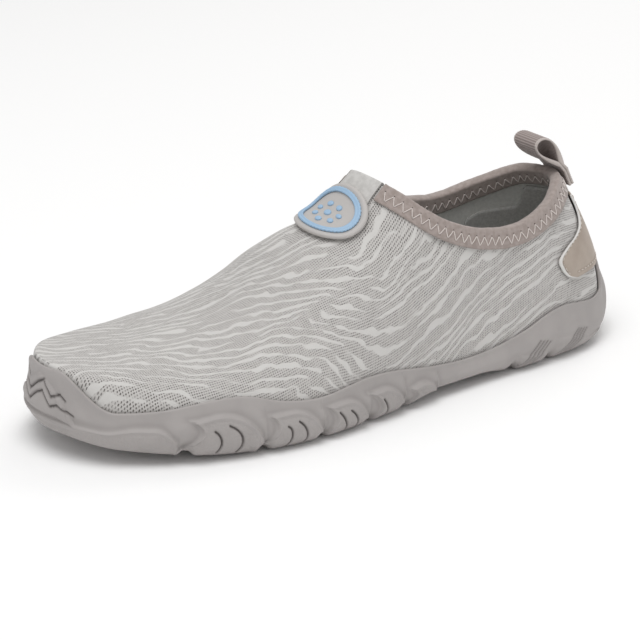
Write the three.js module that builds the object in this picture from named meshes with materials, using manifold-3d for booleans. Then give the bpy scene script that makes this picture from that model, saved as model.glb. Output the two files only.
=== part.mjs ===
// A slip-on barefoot shoe for the left foot: a knitted upper without laces, a moulded rubber cup sole whose
// side wall rises and dips around the foot, a bound collar with an elastic throat insert, a heel patch,
// a pull loop and a soft badge. Millimetres, +Z up, +X towards the toe, +Y the outer (lateral) side.
//
// Every piece is laid on one surface, the last. A place on it is (turn, sweep): turn runs around the foot from
// the heel (0) to the toe, +1 along the outer side and -1 along the inner side, and sweep climbs
// from the feather edge (0) over the side to the top ridge (a quarter turn).

import * as THREE from 'three';
import { mergeVertices } from 'three/addons/utils/BufferGeometryUtils.js';
import Module from 'manifold-3d';

const wasm = await Module();
wasm.setup();

const { PI, abs, acos, cos, hypot, max, min, sign, sin } = Math;

// The foot's sizes
const lastLength = 266;
const ballWidth = 97;
const throatAt = 118;
const throatHeight = 87.5;
const coneRise = 7;
const toeHeight = 36.2;
const heelHeight = 72.5;
const sideHeight = 62;
const toeInset = 6;
const heelInset = 37.5;
const heelBulge = 3.4;
const bulgeEnd = 0.15;
const bulgeTop = 0.95;
const bulgeSkew = 0.65;

// The sole
const soleThickness = 7;
const toeSpring = 7.5;
const springStart = 0.68;
const archRise = 3;
const heelBevel = 7;
const bevelEnd = 0.09;
const sideWallHeight = 24;
const toeCapHeight = 35.8;
const heelTabHeight = 32;
const heelTabWidth = 32;
const lipThickness = 1.8;
const soleFlare = 3.6;
const edgeInset = 3.5;
const lugRelief = 1.3;
const lugBury = 1.2;
const channelWidth = 4;
const channelDepth = 2.2;
const toePanelRelief = 1;

// The upper and what is sewn or bonded on it
const fabricWall = 2;
const clearance = 0.35;
const insoleThickness = 3;
const insoleGap = 0.65;
const bindingWidth = 7.5;
const bindingThickness = 0.9;
const foldGap = 0.5;
const throatInsertWidth = 24;
const throatInsertDepth = 13;
const patchHalfWidth = 52.5;
const patchThickness = 1;
const patchLift = 0.85;
const patchGap = 1.2;
const badgeLength = 29;
const badgeWidth = 33;
const badgeThickness = 1.8;
const badgeRimWidth = 2.2;
const badgeRimHeight = 0.8;
const badgeSetback = 17;
const badgeAside = 3.5;
const badgePower = 2.3;
const badgeTaper = 0.1;
const loopTapeWidth = 15;
const loopTapeThickness = 1.3;
const loopHeight = 21;
const loopDepth = 11.5;
const loopStem = 8;
const loopGap = 0.6;
const loopPinch = 5.5;
const loopNod = 0.34;

const quarter = PI / 2;

// Plan outline at the feather edge: half widths as shares of the ball width
const outline = [
  { at: 0, lateral: 0, medial: 0 },
  { at: 0.03, lateral: 0.2, medial: 0.2 },
  { at: 0.08, lateral: 0.285, medial: 0.285 },
  { at: 0.16, lateral: 0.33, medial: 0.32 },
  { at: 0.26, lateral: 0.345, medial: 0.305 },
  { at: 0.38, lateral: 0.375, medial: 0.295 },
  { at: 0.5, lateral: 0.43, medial: 0.36 },
  { at: 0.6, lateral: 0.475, medial: 0.45 },
  { at: 0.67, lateral: 0.485, medial: 0.5 },
  { at: 0.76, lateral: 0.46, medial: 0.515 },
  { at: 0.84, lateral: 0.4, medial: 0.49 },
  { at: 0.91, lateral: 0.3, medial: 0.42 },
  { at: 0.96, lateral: 0.19, medial: 0.33 },
  { at: 1, lateral: -0.08, medial: 0.08 },
];

// Top ridge from the throat (0) to the toe (1): height between the toe height (0) and the throat height (1)
const ridgeLine = [
  { way: 0, rise: 1 },
  { way: 0.1, rise: 0.74 },
  { way: 0.2, rise: 0.63 },
  { way: 0.27, rise: 0.515 },
  { way: 0.34, rise: 0.375 },
  { way: 0.405, rise: 0.26 },
  { way: 0.515, rise: 0.13 },
  { way: 0.66, rise: 0.03 },
  { way: 0.82, rise: 0.005 },
  { way: 1, rise: 0 },
];

// Cross sections: how square they are, and how far the ridge leans to the inner side, as a share of the ball width
const sections = [
  { at: 0, fullness: -0.26, lean: 0 },
  { at: 0.06, fullness: -0.14, lean: 0 },
  { at: 0.2, fullness: 0.04, lean: 0 },
  { at: 0.42, fullness: 0.02, lean: 0.02 },
  { at: 0.6, fullness: 0.1, lean: 0.06 },
  { at: 0.75, fullness: 0.2, lean: 0.1 },
  { at: 0.9, fullness: 0.45, lean: 0.15 },
  { at: 1, fullness: 0.8, lean: 0.18 },
];

// Collar line from heel to throat: height between the side's low point (0) and the heel (1) or the throat (1)
const collarBack = [
  { way: 0, rise: 1 },
  { way: 0.12, rise: 0.93 },
  { way: 0.3, rise: 0.42 },
  { way: 0.46, rise: 0.05 },
  { way: 0.56, rise: 0 },
];
const collarFront = [
  { way: 0.56, rise: 0 },
  { way: 0.7, rise: 0.13 },
  { way: 0.85, rise: 0.44 },
  { way: 1, rise: 1 },
];

// Top edge of the sole's side wall, as shares of the side wall height
const wallEdge = [
  { at: 0, lateral: 0.95, medial: 0.95 },
  { at: 0.06, lateral: 0.87, medial: 0.87 },
  { at: 0.13, lateral: 0.98, medial: 0.98 },
  { at: 0.17, lateral: 0.93, medial: 0.94 },
  { at: 0.22, lateral: 0.74, medial: 0.8 },
  { at: 0.28, lateral: 0.6, medial: 0.7 },
  { at: 0.35, lateral: 0.555, medial: 0.7 },
  { at: 0.42, lateral: 0.63, medial: 0.77 },
  { at: 0.5, lateral: 0.79, medial: 0.86 },
  { at: 0.56, lateral: 0.84, medial: 0.88 },
  { at: 0.65, lateral: 0.76, medial: 0.8 },
  { at: 0.71, lateral: 0.83, medial: 0.86 },
  { at: 0.77, lateral: 1, medial: 1 },
  { at: 0.83, lateral: 1.01, medial: 1.01 },
  { at: 0.9, lateral: 0.94, medial: 0.96 },
  { at: 1, lateral: 0.92, medial: 0.92 },
];

// Outer face of the sole from the ground (0) to the lip (1): offset from the last as a share of the flare
const soleFace = [
  { up: 0, out: -1 },
  { up: 0.08, out: -0.1 },
  { up: 0.25, out: 0.75 },
  { up: 0.45, out: 1 },
  { up: 0.7, out: 0.88 },
  { up: 0.9, out: 0.62 },
  { up: 1, out: 0.5 },
];

// Side lugs of the sole: from the front to the back of each, as shares of the last's length
const sideLugs = [
  { front: 0.857, back: 0.748, high: 0.63 },
  { front: 0.745, back: 0.647, high: 0.68 },
  { front: 0.649, back: 0.558, high: 0.68 },
  { front: 0.556, back: 0.484, high: 0.62 },
  { front: 0.482, back: 0.412, high: 0.52 },
];
const heelLugs = [
  { front: 0.238, back: 0.178, high: 0.36 },
  { front: 0.162, back: 0.06, high: 0.36 },
];

// Grooves across the ground face, as shares of the last's length
const channels = [0.17, 0.246, 0.483, 0.557, 0.648, 0.7465, 0.862];

// The heel patch from its bottom (0) to its top (1): half width along the surface as a share of its widest
const patchEdge = [
  { up: 0, half: 0.83 },
  { up: 0.06, half: 0.92 },
  { up: 0.19, half: 0.985 },
  { up: 0.33, half: 1 },
  { up: 0.46, half: 0.865 },
  { up: 0.54, half: 0.71 },
  { up: 0.62, half: 0.58 },
  { up: 0.73, half: 0.475 },
  { up: 0.86, half: 0.39 },
  { up: 1, half: 0.35 },
];

const colours = {
  rubber: 0xa8a09e,
  lug: 0xa29c98,
  knit: 0xc9c7c4,
  binding: 0xb3a6a0,
  insert: 0xb9b9b7,
  patch: 0xab9f94,
  badge: 0xb9b6b4,
  badgeRim: 0x8fb0d0,
  tape: 0x96898a,
  insole: 0x8c8c8b,
};

// Smooth cubic through one column of a table
function curve(rows, key, column) {
  const xs = rows.map((row) => row[key]);
  const ys = rows.map((row) => row[column]);
  const last = rows.length - 1;
  const slope = (i) => {
    const a = max(0, i - 1);
    const b = min(last, i + 1);
    return (ys[b] - ys[a]) / (xs[b] - xs[a]);
  };
  return (x) => {
    const inside = min(max(x, xs[0]), xs[last]);
    let i = 0;
    while (i < last - 1 && inside > xs[i + 1]) i += 1;
    const width = xs[i + 1] - xs[i];
    const u = (inside - xs[i]) / width;
    const v = 1 - u;
    const start = ys[i] * v * v * (1 + 2 * u) + slope(i) * width * v * v * u;
    const end = ys[i + 1] * u * u * (3 - 2 * u) - slope(i + 1) * width * u * u * v;
    return start + end;
  };
}

const turnAt = (share) => acos(1 - 2 * share) / PI;
const shareAt = (turn) => (1 - cos(PI * turn)) / 2;
const byTurn = (rows) => rows.map((row) => ({ ...row, turn: turnAt(row.at) }));
const smooth = (x) => {
  const u = min(max(x, 0), 1);
  return u * u * (3 - 2 * u);
};

const halfWidth = {
  lateral: curve(byTurn(outline), 'turn', 'lateral'),
  medial: curve(byTurn(outline), 'turn', 'medial'),
};
const edgeShare = {
  lateral: curve(wallEdge, 'at', 'lateral'),
  medial: curve(wallEdge, 'at', 'medial'),
};
const ridgeRise = curve(ridgeLine, 'way', 'rise');
const fullnessAt = curve(sections, 'at', 'fullness');
const leanAt = curve(sections, 'at', 'lean');
const collarBackRise = curve(collarBack, 'way', 'rise');
const collarFrontRise = curve(collarFront, 'way', 'rise');
const faceOut = curve(soleFace, 'up', 'out');
const patchHalf = curve(patchEdge, 'up', 'half');

const sideOf = (turn) => (turn >= 0 ? 'lateral' : 'medial');
const throatShare = throatAt / lastLength;
const throatTurn = turnAt(throatShare);

const springHeight = (share) => toeSpring * max(0, (share - springStart) / (1 - springStart)) ** 2;

// Height of the ground face: toe spring, arch and the bevel at the heel
function groundHeight(share) {
  const arch = archRise * smooth((share - 0.22) / 0.1) * smooth((0.5 - share) / 0.1);
  const bevel = heelBevel * max(0, 1 - share / bevelEnd) ** 2;
  return springHeight(share) + arch + bevel;
}

const featherHeight = (share) => soleThickness + springHeight(share);

// The plan point of the feather edge
function footPoint(turn) {
  const share = shareAt(abs(turn));
  const half = ballWidth * halfWidth[sideOf(turn)](abs(turn));
  return new THREE.Vector3(lastLength * share, sign(turn) * half || 0, featherHeight(share));
}

// The turn reached from the heel after a length along the feather edge
function turnAlong(length) {
  const small = 1e-3;
  let turn = 0;
  let left = length;
  let stretch = footPoint(small).distanceTo(footPoint(0));
  while (left > stretch) {
    left -= stretch;
    turn += small;
    stretch = footPoint(turn + small).distanceTo(footPoint(turn));
  }
  return turn + (small * left) / stretch;
}

// The instep's slope at the throat, kept up by the cone behind it
const instepSlope = ((1 - ridgeRise(0.01)) / 0.01) * ((throatHeight - toeHeight) / (lastLength - throatAt));

// The top ridge: the instep and toe in front of the throat, and an unseen cone above the collar
function ridgePoint(turn) {
  const share = shareAt(abs(turn));
  const back = max(0, 1 - share / throatShare);
  const front = max(0, (share - throatShare) / (1 - throatShare));
  const x = lastLength * share + heelInset * back ** 2 - toeInset * front ** 3;
  const y = -ballWidth * leanAt(share);
  const cone = instepSlope * throatAt * back * (1 - back) ** 2 + coneRise * back ** 2;
  return new THREE.Vector3(x, y, toeHeight + (throatHeight - toeHeight) * ridgeRise(front) + cone);
}

const upShape = (sweep, k) => sin(sweep) * (1 + k * cos(sweep) ** 2);
const acrossShape = (sweep, k) => 1 - cos(sweep) * (1 + k * sin(sweep) ** 2);

// A point of the last; past the ridge it runs down the other side
function lastPoint(turn, sweep) {
  if (sweep > quarter) return lastPoint(-turn, 2 * quarter - sweep);
  let around = turn;
  if (abs(around) > 1) around -= 2 * sign(around);
  if (sweep === quarter || abs(around) === 1) around = abs(around);
  const foot = footPoint(around);
  const ridge = ridgePoint(around);
  const k = fullnessAt(shareAt(abs(around)));
  const across = acrossShape(sweep, k);
  const up = upShape(sweep, k);
  const behind = max(0, 1 - shareAt(abs(around)) / bulgeEnd) ** 2;
  const bulge = heelBulge * behind * sin(PI * min(1, sweep / bulgeTop) ** bulgeSkew);
  return new THREE.Vector3(
    foot.x * (1 - across) + ridge.x * across - bulge,
    foot.y * (1 - across) + ridge.y * across,
    foot.z * (1 - up) + ridge.z * up,
  );
}

const step = 1e-4;

function surfaceFrame(turn, sweep) {
  const along = lastPoint(turn + step, sweep).sub(lastPoint(turn - step, sweep)).divideScalar(2 * step);
  const low = sweep < step ? sweep : sweep - step;
  const climb = lastPoint(turn, sweep + step).sub(lastPoint(turn, low)).divideScalar(sweep + step - low);
  const normal = climb.clone().cross(along).normalize();
  return { along, climb, normal };
}

function offsetPoint(turn, sweep, distance) {
  const around = sweep === quarter || abs(turn) === 1 ? abs(turn) : turn;
  return lastPoint(around, sweep).addScaledVector(surfaceFrame(around, sweep).normal, distance);
}

// The sweep where the last reaches a height
function sweepAtHeight(turn, height) {
  const share = shareAt(abs(turn));
  const low = featherHeight(share);
  const goal = (height - low) / (ridgePoint(turn).z - low);
  if (goal >= 1) return quarter;
  if (goal <= 0) return 0;
  let a = 0;
  let b = quarter;
  for (let i = 0; i < 40; i += 1) {
    const mid = (a + b) / 2;
    if (upShape(mid, fullnessAt(share)) < goal) a = mid;
    else b = mid;
  }
  return (a + b) / 2;
}

function collarHeight(share) {
  const way = share / throatShare;
  const split = collarBack[collarBack.length - 1].way;
  if (way < split) return sideHeight + (heelHeight - sideHeight) * collarBackRise(way);
  return sideHeight + (throatHeight - sideHeight) * collarFrontRise(way);
}

const topSweep = (turn) =>
  abs(turn) >= throatTurn ? quarter : sweepAtHeight(turn, collarHeight(shareAt(abs(turn))));

// The collar edge: 0 at the throat, +1 and -1 at the heel by way of the outer and the inner side
function collarEdge(edge) {
  const wrapped = abs(edge) > 1 ? edge - 2 * sign(edge) : edge;
  const turn = (sign(wrapped) || 1) * throatTurn * (1 - wrapped ** 2);
  return { turn, sweep: wrapped === 0 ? quarter : topSweep(turn) };
}

function collarPoint(edge) {
  const { turn, sweep } = collarEdge(edge);
  return lastPoint(turn, sweep);
}

// Walks over the last from a place, in a direction held as straight as the surface allows
function walk(start, direction, distance) {
  const steps = max(1, Math.ceil(distance / 1.5));
  const place = { ...start };
  const heading = direction.clone();
  for (let i = 0; i < steps; i += 1) {
    const { along, climb, normal } = surfaceFrame(place.turn, place.sweep);
    heading.addScaledVector(normal, -heading.dot(normal)).normalize();
    const aa = along.dot(along);
    const ac = along.dot(climb);
    const cc = climb.dot(climb);
    const ha = heading.dot(along);
    const hc = heading.dot(climb);
    const det = aa * cc - ac * ac;
    place.turn += ((ha * cc - hc * ac) / det) * (distance / steps);
    place.sweep += ((hc * aa - ha * ac) / det) * (distance / steps);
  }
  return place;
}

// The direction across the collar edge, away from the opening
function collarAway(edge) {
  const h = 1e-3;
  const tangent = collarPoint(edge + h).sub(collarPoint(edge - h)).normalize();
  const { turn, sweep } = collarEdge(edge);
  const { normal } = surfaceFrame(turn, sweep);
  return tangent.cross(normal).normalize();
}

// Turns a grid of points into triangles, row by row
function gridFaces(grid, faces, flip) {
  for (let i = 0; i < grid.length - 1; i += 1) {
    for (let j = 0; j < grid[i].length - 1; j += 1) {
      const quad = [grid[i][j], grid[i + 1][j], grid[i + 1][j + 1], grid[i][j + 1]];
      const [a, b, c, d] = flip ? [...quad].reverse() : quad;
      faces.push([a, b, c], [a, c, d]);
    }
  }
}

function geometryOf(faces) {
  const flat = new Float32Array(faces.length * 9);
  faces.forEach((face, i) => face.forEach((p, j) => p.toArray(flat, i * 9 + j * 3)));
  const soup = new THREE.BufferGeometry();
  soup.setAttribute('position', new THREE.BufferAttribute(flat, 3));
  const welded = mergeVertices(soup, 1e-3);
  const kept = [];
  for (let i = 0; i < welded.index.count; i += 3) {
    const [a, b, c] = [0, 1, 2].map((k) => welded.index.getX(i + k));
    if (a !== b && b !== c && c !== a) kept.push(a, b, c);
  }
  welded.setIndex(kept);
  return welded;
}

// A closed solid from a strip of folded sections: each goes out along one face and back along the other
function stripSolid(sectionsAlong) {
  const faces = [];
  gridFaces(sectionsAlong.map((section) => [...section, section[0]]), faces, false);
  const capped = (section, flip) => {
    const half = section.length / 2;
    const back = section.slice(half).reverse();
    gridFaces([section.slice(0, half), back], faces, flip);
  };
  capped(sectionsAlong[0], true);
  capped(sectionsAlong[sectionsAlong.length - 1], false);
  return geometryOf(faces);
}

// A closed plate from an outer and an inner grid of the same shape
function plateSolid(outer, inner) {
  const faces = [];
  gridFaces(outer, faces, false);
  gridFaces(inner, faces, true);
  const rows = outer.length - 1;
  const columns = outer[0].length - 1;
  for (let i = 0; i < rows; i += 1) {
    faces.push([outer[i][0], inner[i][0], inner[i + 1][0]], [outer[i][0], inner[i + 1][0], outer[i + 1][0]]);
    const [a, b, c, d] = [outer[i][columns], outer[i + 1][columns], inner[i + 1][columns], inner[i][columns]];
    faces.push([a, b, c], [a, c, d]);
  }
  for (let j = 0; j < columns; j += 1) {
    const [a, b, c, d] = [outer[0][j], outer[0][j + 1], inner[0][j + 1], inner[0][j]];
    faces.push([a, b, c], [a, c, d]);
    faces.push([outer[rows][j], inner[rows][j], inner[rows][j + 1]]);
    faces.push([outer[rows][j], inner[rows][j + 1], outer[rows][j + 1]]);
  }
  return geometryOf(faces);
}

function toManifold(geometry) {
  const made = new wasm.Manifold(
    new wasm.Mesh({
      numProp: 3,
      vertProperties: geometry.attributes.position.array,
      triVerts: new Uint32Array(geometry.index.array),
    }),
  );
  return made;
}

// Reverses a closed geometry that faces inwards
function facingOut(geometry) {
  if (toManifold(geometry).volume() > 0) return geometry;
  const index = geometry.index.array;
  for (let i = 0; i < index.length; i += 3) [index[i + 1], index[i + 2]] = [index[i + 2], index[i + 1]];
  return geometry;
}

function fromManifold(manifold) {
  const { vertProperties, triVerts } = manifold.getMesh();
  const geometry = new THREE.BufferGeometry();
  geometry.setAttribute('position', new THREE.BufferAttribute(vertProperties, 3));
  geometry.setIndex(new THREE.BufferAttribute(triVerts, 1));
  return geometry;
}

const solid = (geometry) => toManifold(facingOut(geometry));

// Stations around the shoe: close together at the throat, the heel and the toe
const rearStations = 18;
const frontStations = 16;

function halfTurns() {
  const turns = [];
  for (let i = rearStations; i > 0; i -= 1) turns.push(throatTurn * (1 - (i / rearStations) ** 2));
  for (let i = 0; i <= frontStations; i += 1) {
    turns.push(throatTurn + (1 - throatTurn) * (i / frontStations) ** 1.25);
  }
  return turns;
}

const stations = halfTurns();
const ringTurns = [...stations, ...stations.slice(1, -1).reverse().map((turn) => -turn)];

// The upper: one wall from the feather edge to the ridge or the collar
function upperSolid() {
  const rows = 9;
  const wallGrid = (offset) =>
    [...ringTurns, ringTurns[0]].map((turn) => {
      const top = topSweep(turn);
      const column = [];
      for (let j = 0; j <= rows; j += 1) column.push(offsetPoint(turn, top * (1 - (1 - j / rows) ** 1.2), offset));
      return column;
    });
  const outer = wallGrid(0);
  const inner = wallGrid(-fabricWall);
  const faces = [];
  gridFaces(outer, faces, false);
  gridFaces(inner, faces, true);
  for (let i = 0; i < outer.length - 1; i += 1) {
    const feather = [outer[i][0], inner[i][0], inner[i + 1][0], outer[i + 1][0]];
    faces.push([feather[0], feather[1], feather[2]], [feather[0], feather[2], feather[3]]);
    const open = abs(ringTurns[i % ringTurns.length]) < throatTurn || abs([...ringTurns, 0][i + 1]) < throatTurn;
    if (!open) continue;
    const rim = [outer[i][rows], outer[i + 1][rows], inner[i + 1][rows], inner[i][rows]];
    faces.push([rim[0], rim[1], rim[2]], [rim[0], rim[2], rim[3]]);
  }
  return geometryOf(faces);
}

// Plan normal of the outline, pointing out
function planNormal(turn) {
  const tangent = footPoint(min(turn + step, 1)).sub(footPoint(max(turn - step, -1)));
  return new THREE.Vector3(-tangent.y, tangent.x, 0).normalize();
}

const ringTurn = (turn) => (abs(turn) > 1 ? turn - 2 * sign(turn) : turn);

function soleTop(turn) {
  const share = shareAt(abs(turn));
  const wave = sideWallHeight * edgeShare[sideOf(turn)](share);
  const cap = smooth((abs(turn) - 0.85) / 0.1);
  const arc = abs(footPoint(turn).y);
  const tab = share < 0.2 ? smooth((heelTabWidth / 2 + 4 - arc) / 8) : 0;
  const base = wave + (toeCapHeight - wave) * cap;
  return base + (heelTabHeight - base) * tab;
}

// A point of the sole's outer face: up runs from the ground (0) to the lip (1)
function solePoint(turn, up, relief) {
  const around = ringTurn(turn);
  const share = shareAt(abs(around));
  const bottom = groundHeight(share);
  const height = bottom + (soleTop(around) - bottom) * up;
  const blend = smooth((up - 0.5) / 0.5);
  const round = share < 0.12 ? 1 + 1.4 * (1 - share / 0.12) : 1 + 1.6 * smooth((share - 0.86) / 0.14);
  const out = faceOut(up);
  const flare = out < 0 ? out * edgeInset * round : out * soleFlare;
  const offset = flare * (1 - blend) + lipThickness * blend + relief;
  if (height <= featherHeight(share)) {
    const foot = footPoint(around);
    return new THREE.Vector3(foot.x, foot.y, height).addScaledVector(planNormal(around), offset);
  }
  return offsetPoint(around, sweepAtHeight(around, height), offset);
}

const soleRows = [0, 0.07, 0.18, 0.33, 0.5, 0.68, 0.85, 0.96, 1];

function soleBody() {
  const innerRows = 7;
  const columns = [...ringTurns, ringTurns[0]].map((turn) => {
    const around = abs(turn) === 1 ? 1 : turn;
    const share = shareAt(abs(around));
    const floor = featherHeight(share) - clearance;
    const column = soleRows.map((up) => solePoint(around, up, 0));
    const top = sweepAtHeight(around, soleTop(around));
    for (let j = innerRows; j >= 0; j -= 1) column.push(offsetPoint(around, (top * j) / innerRows, clearance));
    const corner = offsetPoint(around, 0, clearance);
    column.push(new THREE.Vector3(corner.x, corner.y, floor));
    return column;
  });
  const faces = [];
  gridFaces(columns, faces, false);
  const count = ringTurns.length;
  const lastRow = columns[0].length - 1;
  for (let i = 0; i < stations.length - 1; i += 1) {
    const lateral = [columns[i], columns[i + 1]];
    const medial = [columns[(count - i) % count], columns[count - i - 1]];
    const ground = [lateral[0][0], lateral[1][0], medial[1][0], medial[0][0]];
    faces.push([ground[2], ground[1], ground[0]], [ground[3], ground[2], ground[0]]);
    const floor = [lateral[0][lastRow], lateral[1][lastRow], medial[1][lastRow], medial[0][lastRow]];
    faces.push([floor[0], floor[1], floor[2]], [floor[0], floor[2], floor[3]]);
  }
  return geometryOf(faces);
}

// A raised patch on the sole's outer face, from a function of (along, rise), each 0 to 1
function soleRelief(columns, rows, place, relief) {
  const surface = (depth) => {
    const grid = [];
    for (let i = 0; i <= columns; i += 1) {
      const line = [];
      for (let j = 0; j <= rows; j += 1) {
        const { turn, up } = place(i / columns, j / rows);
        line.push(solePoint(turn, up, depth));
      }
      grid.push(line);
    }
    return grid;
  };
  return plateSolid(surface(relief), surface(-lugBury));
}

// A claw-shaped lug: its top starts at a point towards the toe and sweeps down to the back
function clawLug({ front, back, high }, side) {
  return soleRelief(7, 4, (along, rise) => {
    const crest = along < 0.3 ? 0.94 + 0.06 * sin((along / 0.3) * quarter) : 0.2 + 0.8 * cos(((along - 0.3) / 0.7) * quarter) ** 0.6;
    const hook = (0.17 * sin(rise * PI) + 0.15 * rise) * (1 - along);
    const share = front + (back - front) * (along + hook);
    return { turn: side * turnAt(share), up: 0.015 + (high * crest - 0.015) * rise };
  }, lugRelief);
}

function heelLug({ front, back, high }, side) {
  return soleRelief(5, 2, (along, rise) => {
    const share = front + (back - front) * (along + 0.25 * rise);
    return { turn: side * turnAt(max(share, 0.012)), up: 0.015 + high * rise * sin(PI * (0.12 + 0.76 * along)) };
  }, lugRelief * 0.6);
}

// The long lug that wraps under the toe
function toeLug() {
  const end = turnAt(0.868);
  return soleRelief(16, 3, (along, rise) => {
    const around = end + (2 - 2 * end) * along;
    const crest = (0.32 + 0.32 * smooth((abs(1 - around) - 0.08) / 0.09)) * min(1, sin(PI * along) * 4) ** 0.5;
    return { turn: around, up: 0.015 + crest * rise };
  }, lugRelief * 0.7);
}

// The lens-shaped panel across the front of the toe cap
function toePanel() {
  const end = turnAt(0.981);
  return soleRelief(14, 3, (along, rise) => {
    const across = 2 * along - 1;
    const low = 0.38 - 0.04 * across ** 2;
    const high = low + 0.5 * (1 - abs(across) ** 1.6) + 0.015;
    return { turn: end + (2 - 2 * end) * along, up: low + (high - low) * rise };
  }, toePanelRelief);
}

function crossChannel(share) {
  const box = new THREE.BoxGeometry(channelWidth, ballWidth * 1.5, channelDepth * 2);
  box.deleteAttribute('normal');
  box.deleteAttribute('uv');
  box.translate(lastLength * share, 0, groundHeight(share));
  return solid(mergeVertices(box));
}

function soleSolid() {
  let body = solid(soleBody());
  for (const side of [1, -1]) {
    for (const lug of sideLugs) body = body.add(solid(clawLug(lug, side)));
    for (const lug of heelLugs) body = body.add(solid(heelLug(lug, side)));
  }
  body = body.add(solid(toeLug())).add(solid(toePanel()));
  for (const share of channels) body = body.subtract(crossChannel(share));
  return fromManifold(body);
}

// The insole lies on the sole's floor, inside the upper
function insoleSolid() {
  const inset = fabricWall + insoleGap;
  const faces = [];
  const rim = ringTurns.map((turn) => {
    const low = offsetPoint(turn, 0, -inset);
    const top = low.clone();
    top.z += insoleThickness;
    return [low, top];
  });
  gridFaces([...rim, rim[0]], faces, false);
  const count = ringTurns.length;
  for (let i = 0; i < stations.length - 1; i += 1) {
    const lateral = [rim[i], rim[i + 1]];
    const medial = [rim[(count - i) % count], rim[count - i - 1]];
    const top = [lateral[0][1], lateral[1][1], medial[1][1], medial[0][1]];
    faces.push([top[0], top[1], top[2]], [top[0], top[2], top[3]]);
    const low = [lateral[0][0], lateral[1][0], medial[1][0], medial[0][0]];
    faces.push([low[2], low[1], low[0]], [low[3], low[2], low[0]]);
  }
  return geometryOf(faces);
}

// A tape folded over the collar edge: one section of it, with legs of the given depths
function foldedSection(edge, outerDepth, innerDepth, thickness) {
  const start = collarEdge(edge);
  const away = collarAway(edge);
  const { normal } = surfaceFrame(start.turn, start.sweep);
  const onLeg = (depth, offset) => {
    const place = walk(start, away, depth);
    return offsetPoint(place.turn, place.sweep, offset);
  };
  const overTop = (rise, offset) =>
    lastPoint(start.turn, start.sweep).addScaledVector(away, -rise).addScaledVector(normal, offset);
  const outerFace = foldGap + thickness;
  const innerFace = -(fabricWall + foldGap + thickness);
  return [
    onLeg(outerDepth, outerFace),
    onLeg(outerDepth / 2, outerFace),
    overTop(0, outerFace),
    overTop(foldGap + thickness * 0.75, outerFace - thickness * 0.7),
    overTop(foldGap + thickness, -fabricWall / 2),
    overTop(foldGap + thickness * 0.75, innerFace + thickness * 0.7),
    overTop(0, innerFace),
    onLeg(innerDepth / 2, innerFace),
    onLeg(innerDepth, innerFace),
    onLeg(innerDepth, -(fabricWall + foldGap)),
    onLeg(innerDepth / 2, -(fabricWall + foldGap)),
    overTop(0, -(fabricWall + foldGap)),
    overTop(foldGap, -(fabricWall + foldGap)),
    overTop(foldGap, -fabricWall / 2),
    overTop(foldGap, foldGap),
    overTop(0, foldGap),
    onLeg(outerDepth / 2, foldGap),
    onLeg(outerDepth, foldGap),
  ];
}

// The share of the collar edge taken up by half of the throat insert
function insertEdgeShare() {
  let edge = 0;
  while (hypot(collarPoint(edge).y - collarPoint(0).y) < throatInsertWidth / 2) edge += 1e-3;
  return edge;
}

const insertHalf = insertEdgeShare();

// Places along the collar edge that fall on the upper's own stations
function edgesBetween(from, to) {
  const inner = [];
  for (let i = 0; i <= 2 * rearStations; i += 1) {
    const edge = i / rearStations;
    if (edge > from + 0.01 && edge < to - 0.01) inner.push(edge);
  }
  return [from, ...inner, to];
}

function bindingSolid() {
  const from = insertHalf + 0.012;
  const sectionsAlong = edgesBetween(from, 2 - from).map((edge) =>
    foldedSection(ringTurn(edge), bindingWidth, bindingWidth, bindingThickness),
  );
  return stripSolid(sectionsAlong);
}

function throatInsertSolid() {
  const half = edgesBetween(0, insertHalf);
  const edges = [...half.slice(1).reverse().map((edge) => -edge), ...half];
  const sectionsAlong = edges.map((edge) =>
    foldedSection(edge, throatInsertDepth, bindingWidth, bindingThickness * 0.8),
  );
  return stripSolid(sectionsAlong);
}

// The heel patch, between the sole's tab and the binding
function heelPatchSolid() {
  const columns = 16;
  const rows = 6;
  const low = heelTabHeight + patchGap;
  const high = heelHeight - bindingWidth - patchGap * 1.5;
  const surface = (offset) => {
    const grid = [];
    for (let j = 0; j <= rows; j += 1) {
      const up = j / rows;
      const line = [];
      for (let i = 0; i <= columns; i += 1) {
        const across = (2 * i) / columns - 1;
        const turn = sign(across) * turnAlong(patchHalfWidth * patchHalf(up) * abs(across));
        line.push(offsetPoint(turn, sweepAtHeight(turn, low + (high - low) * up), offset));
      }
      grid.push(line);
    }
    return grid;
  };
  return plateSolid(surface(patchLift + patchThickness), surface(patchLift));
}

// The badge's outline: a rounded shield, as radii around its centre
function badgeRadius(angle) {
  const along = cos(angle);
  const wide = sin(angle);
  const spread = abs((2 * along) / badgeLength) ** badgePower + abs((2 * wide) / badgeWidth) ** badgePower;
  return (1 - badgeTaper * along) / spread ** (1 / badgePower);
}

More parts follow.
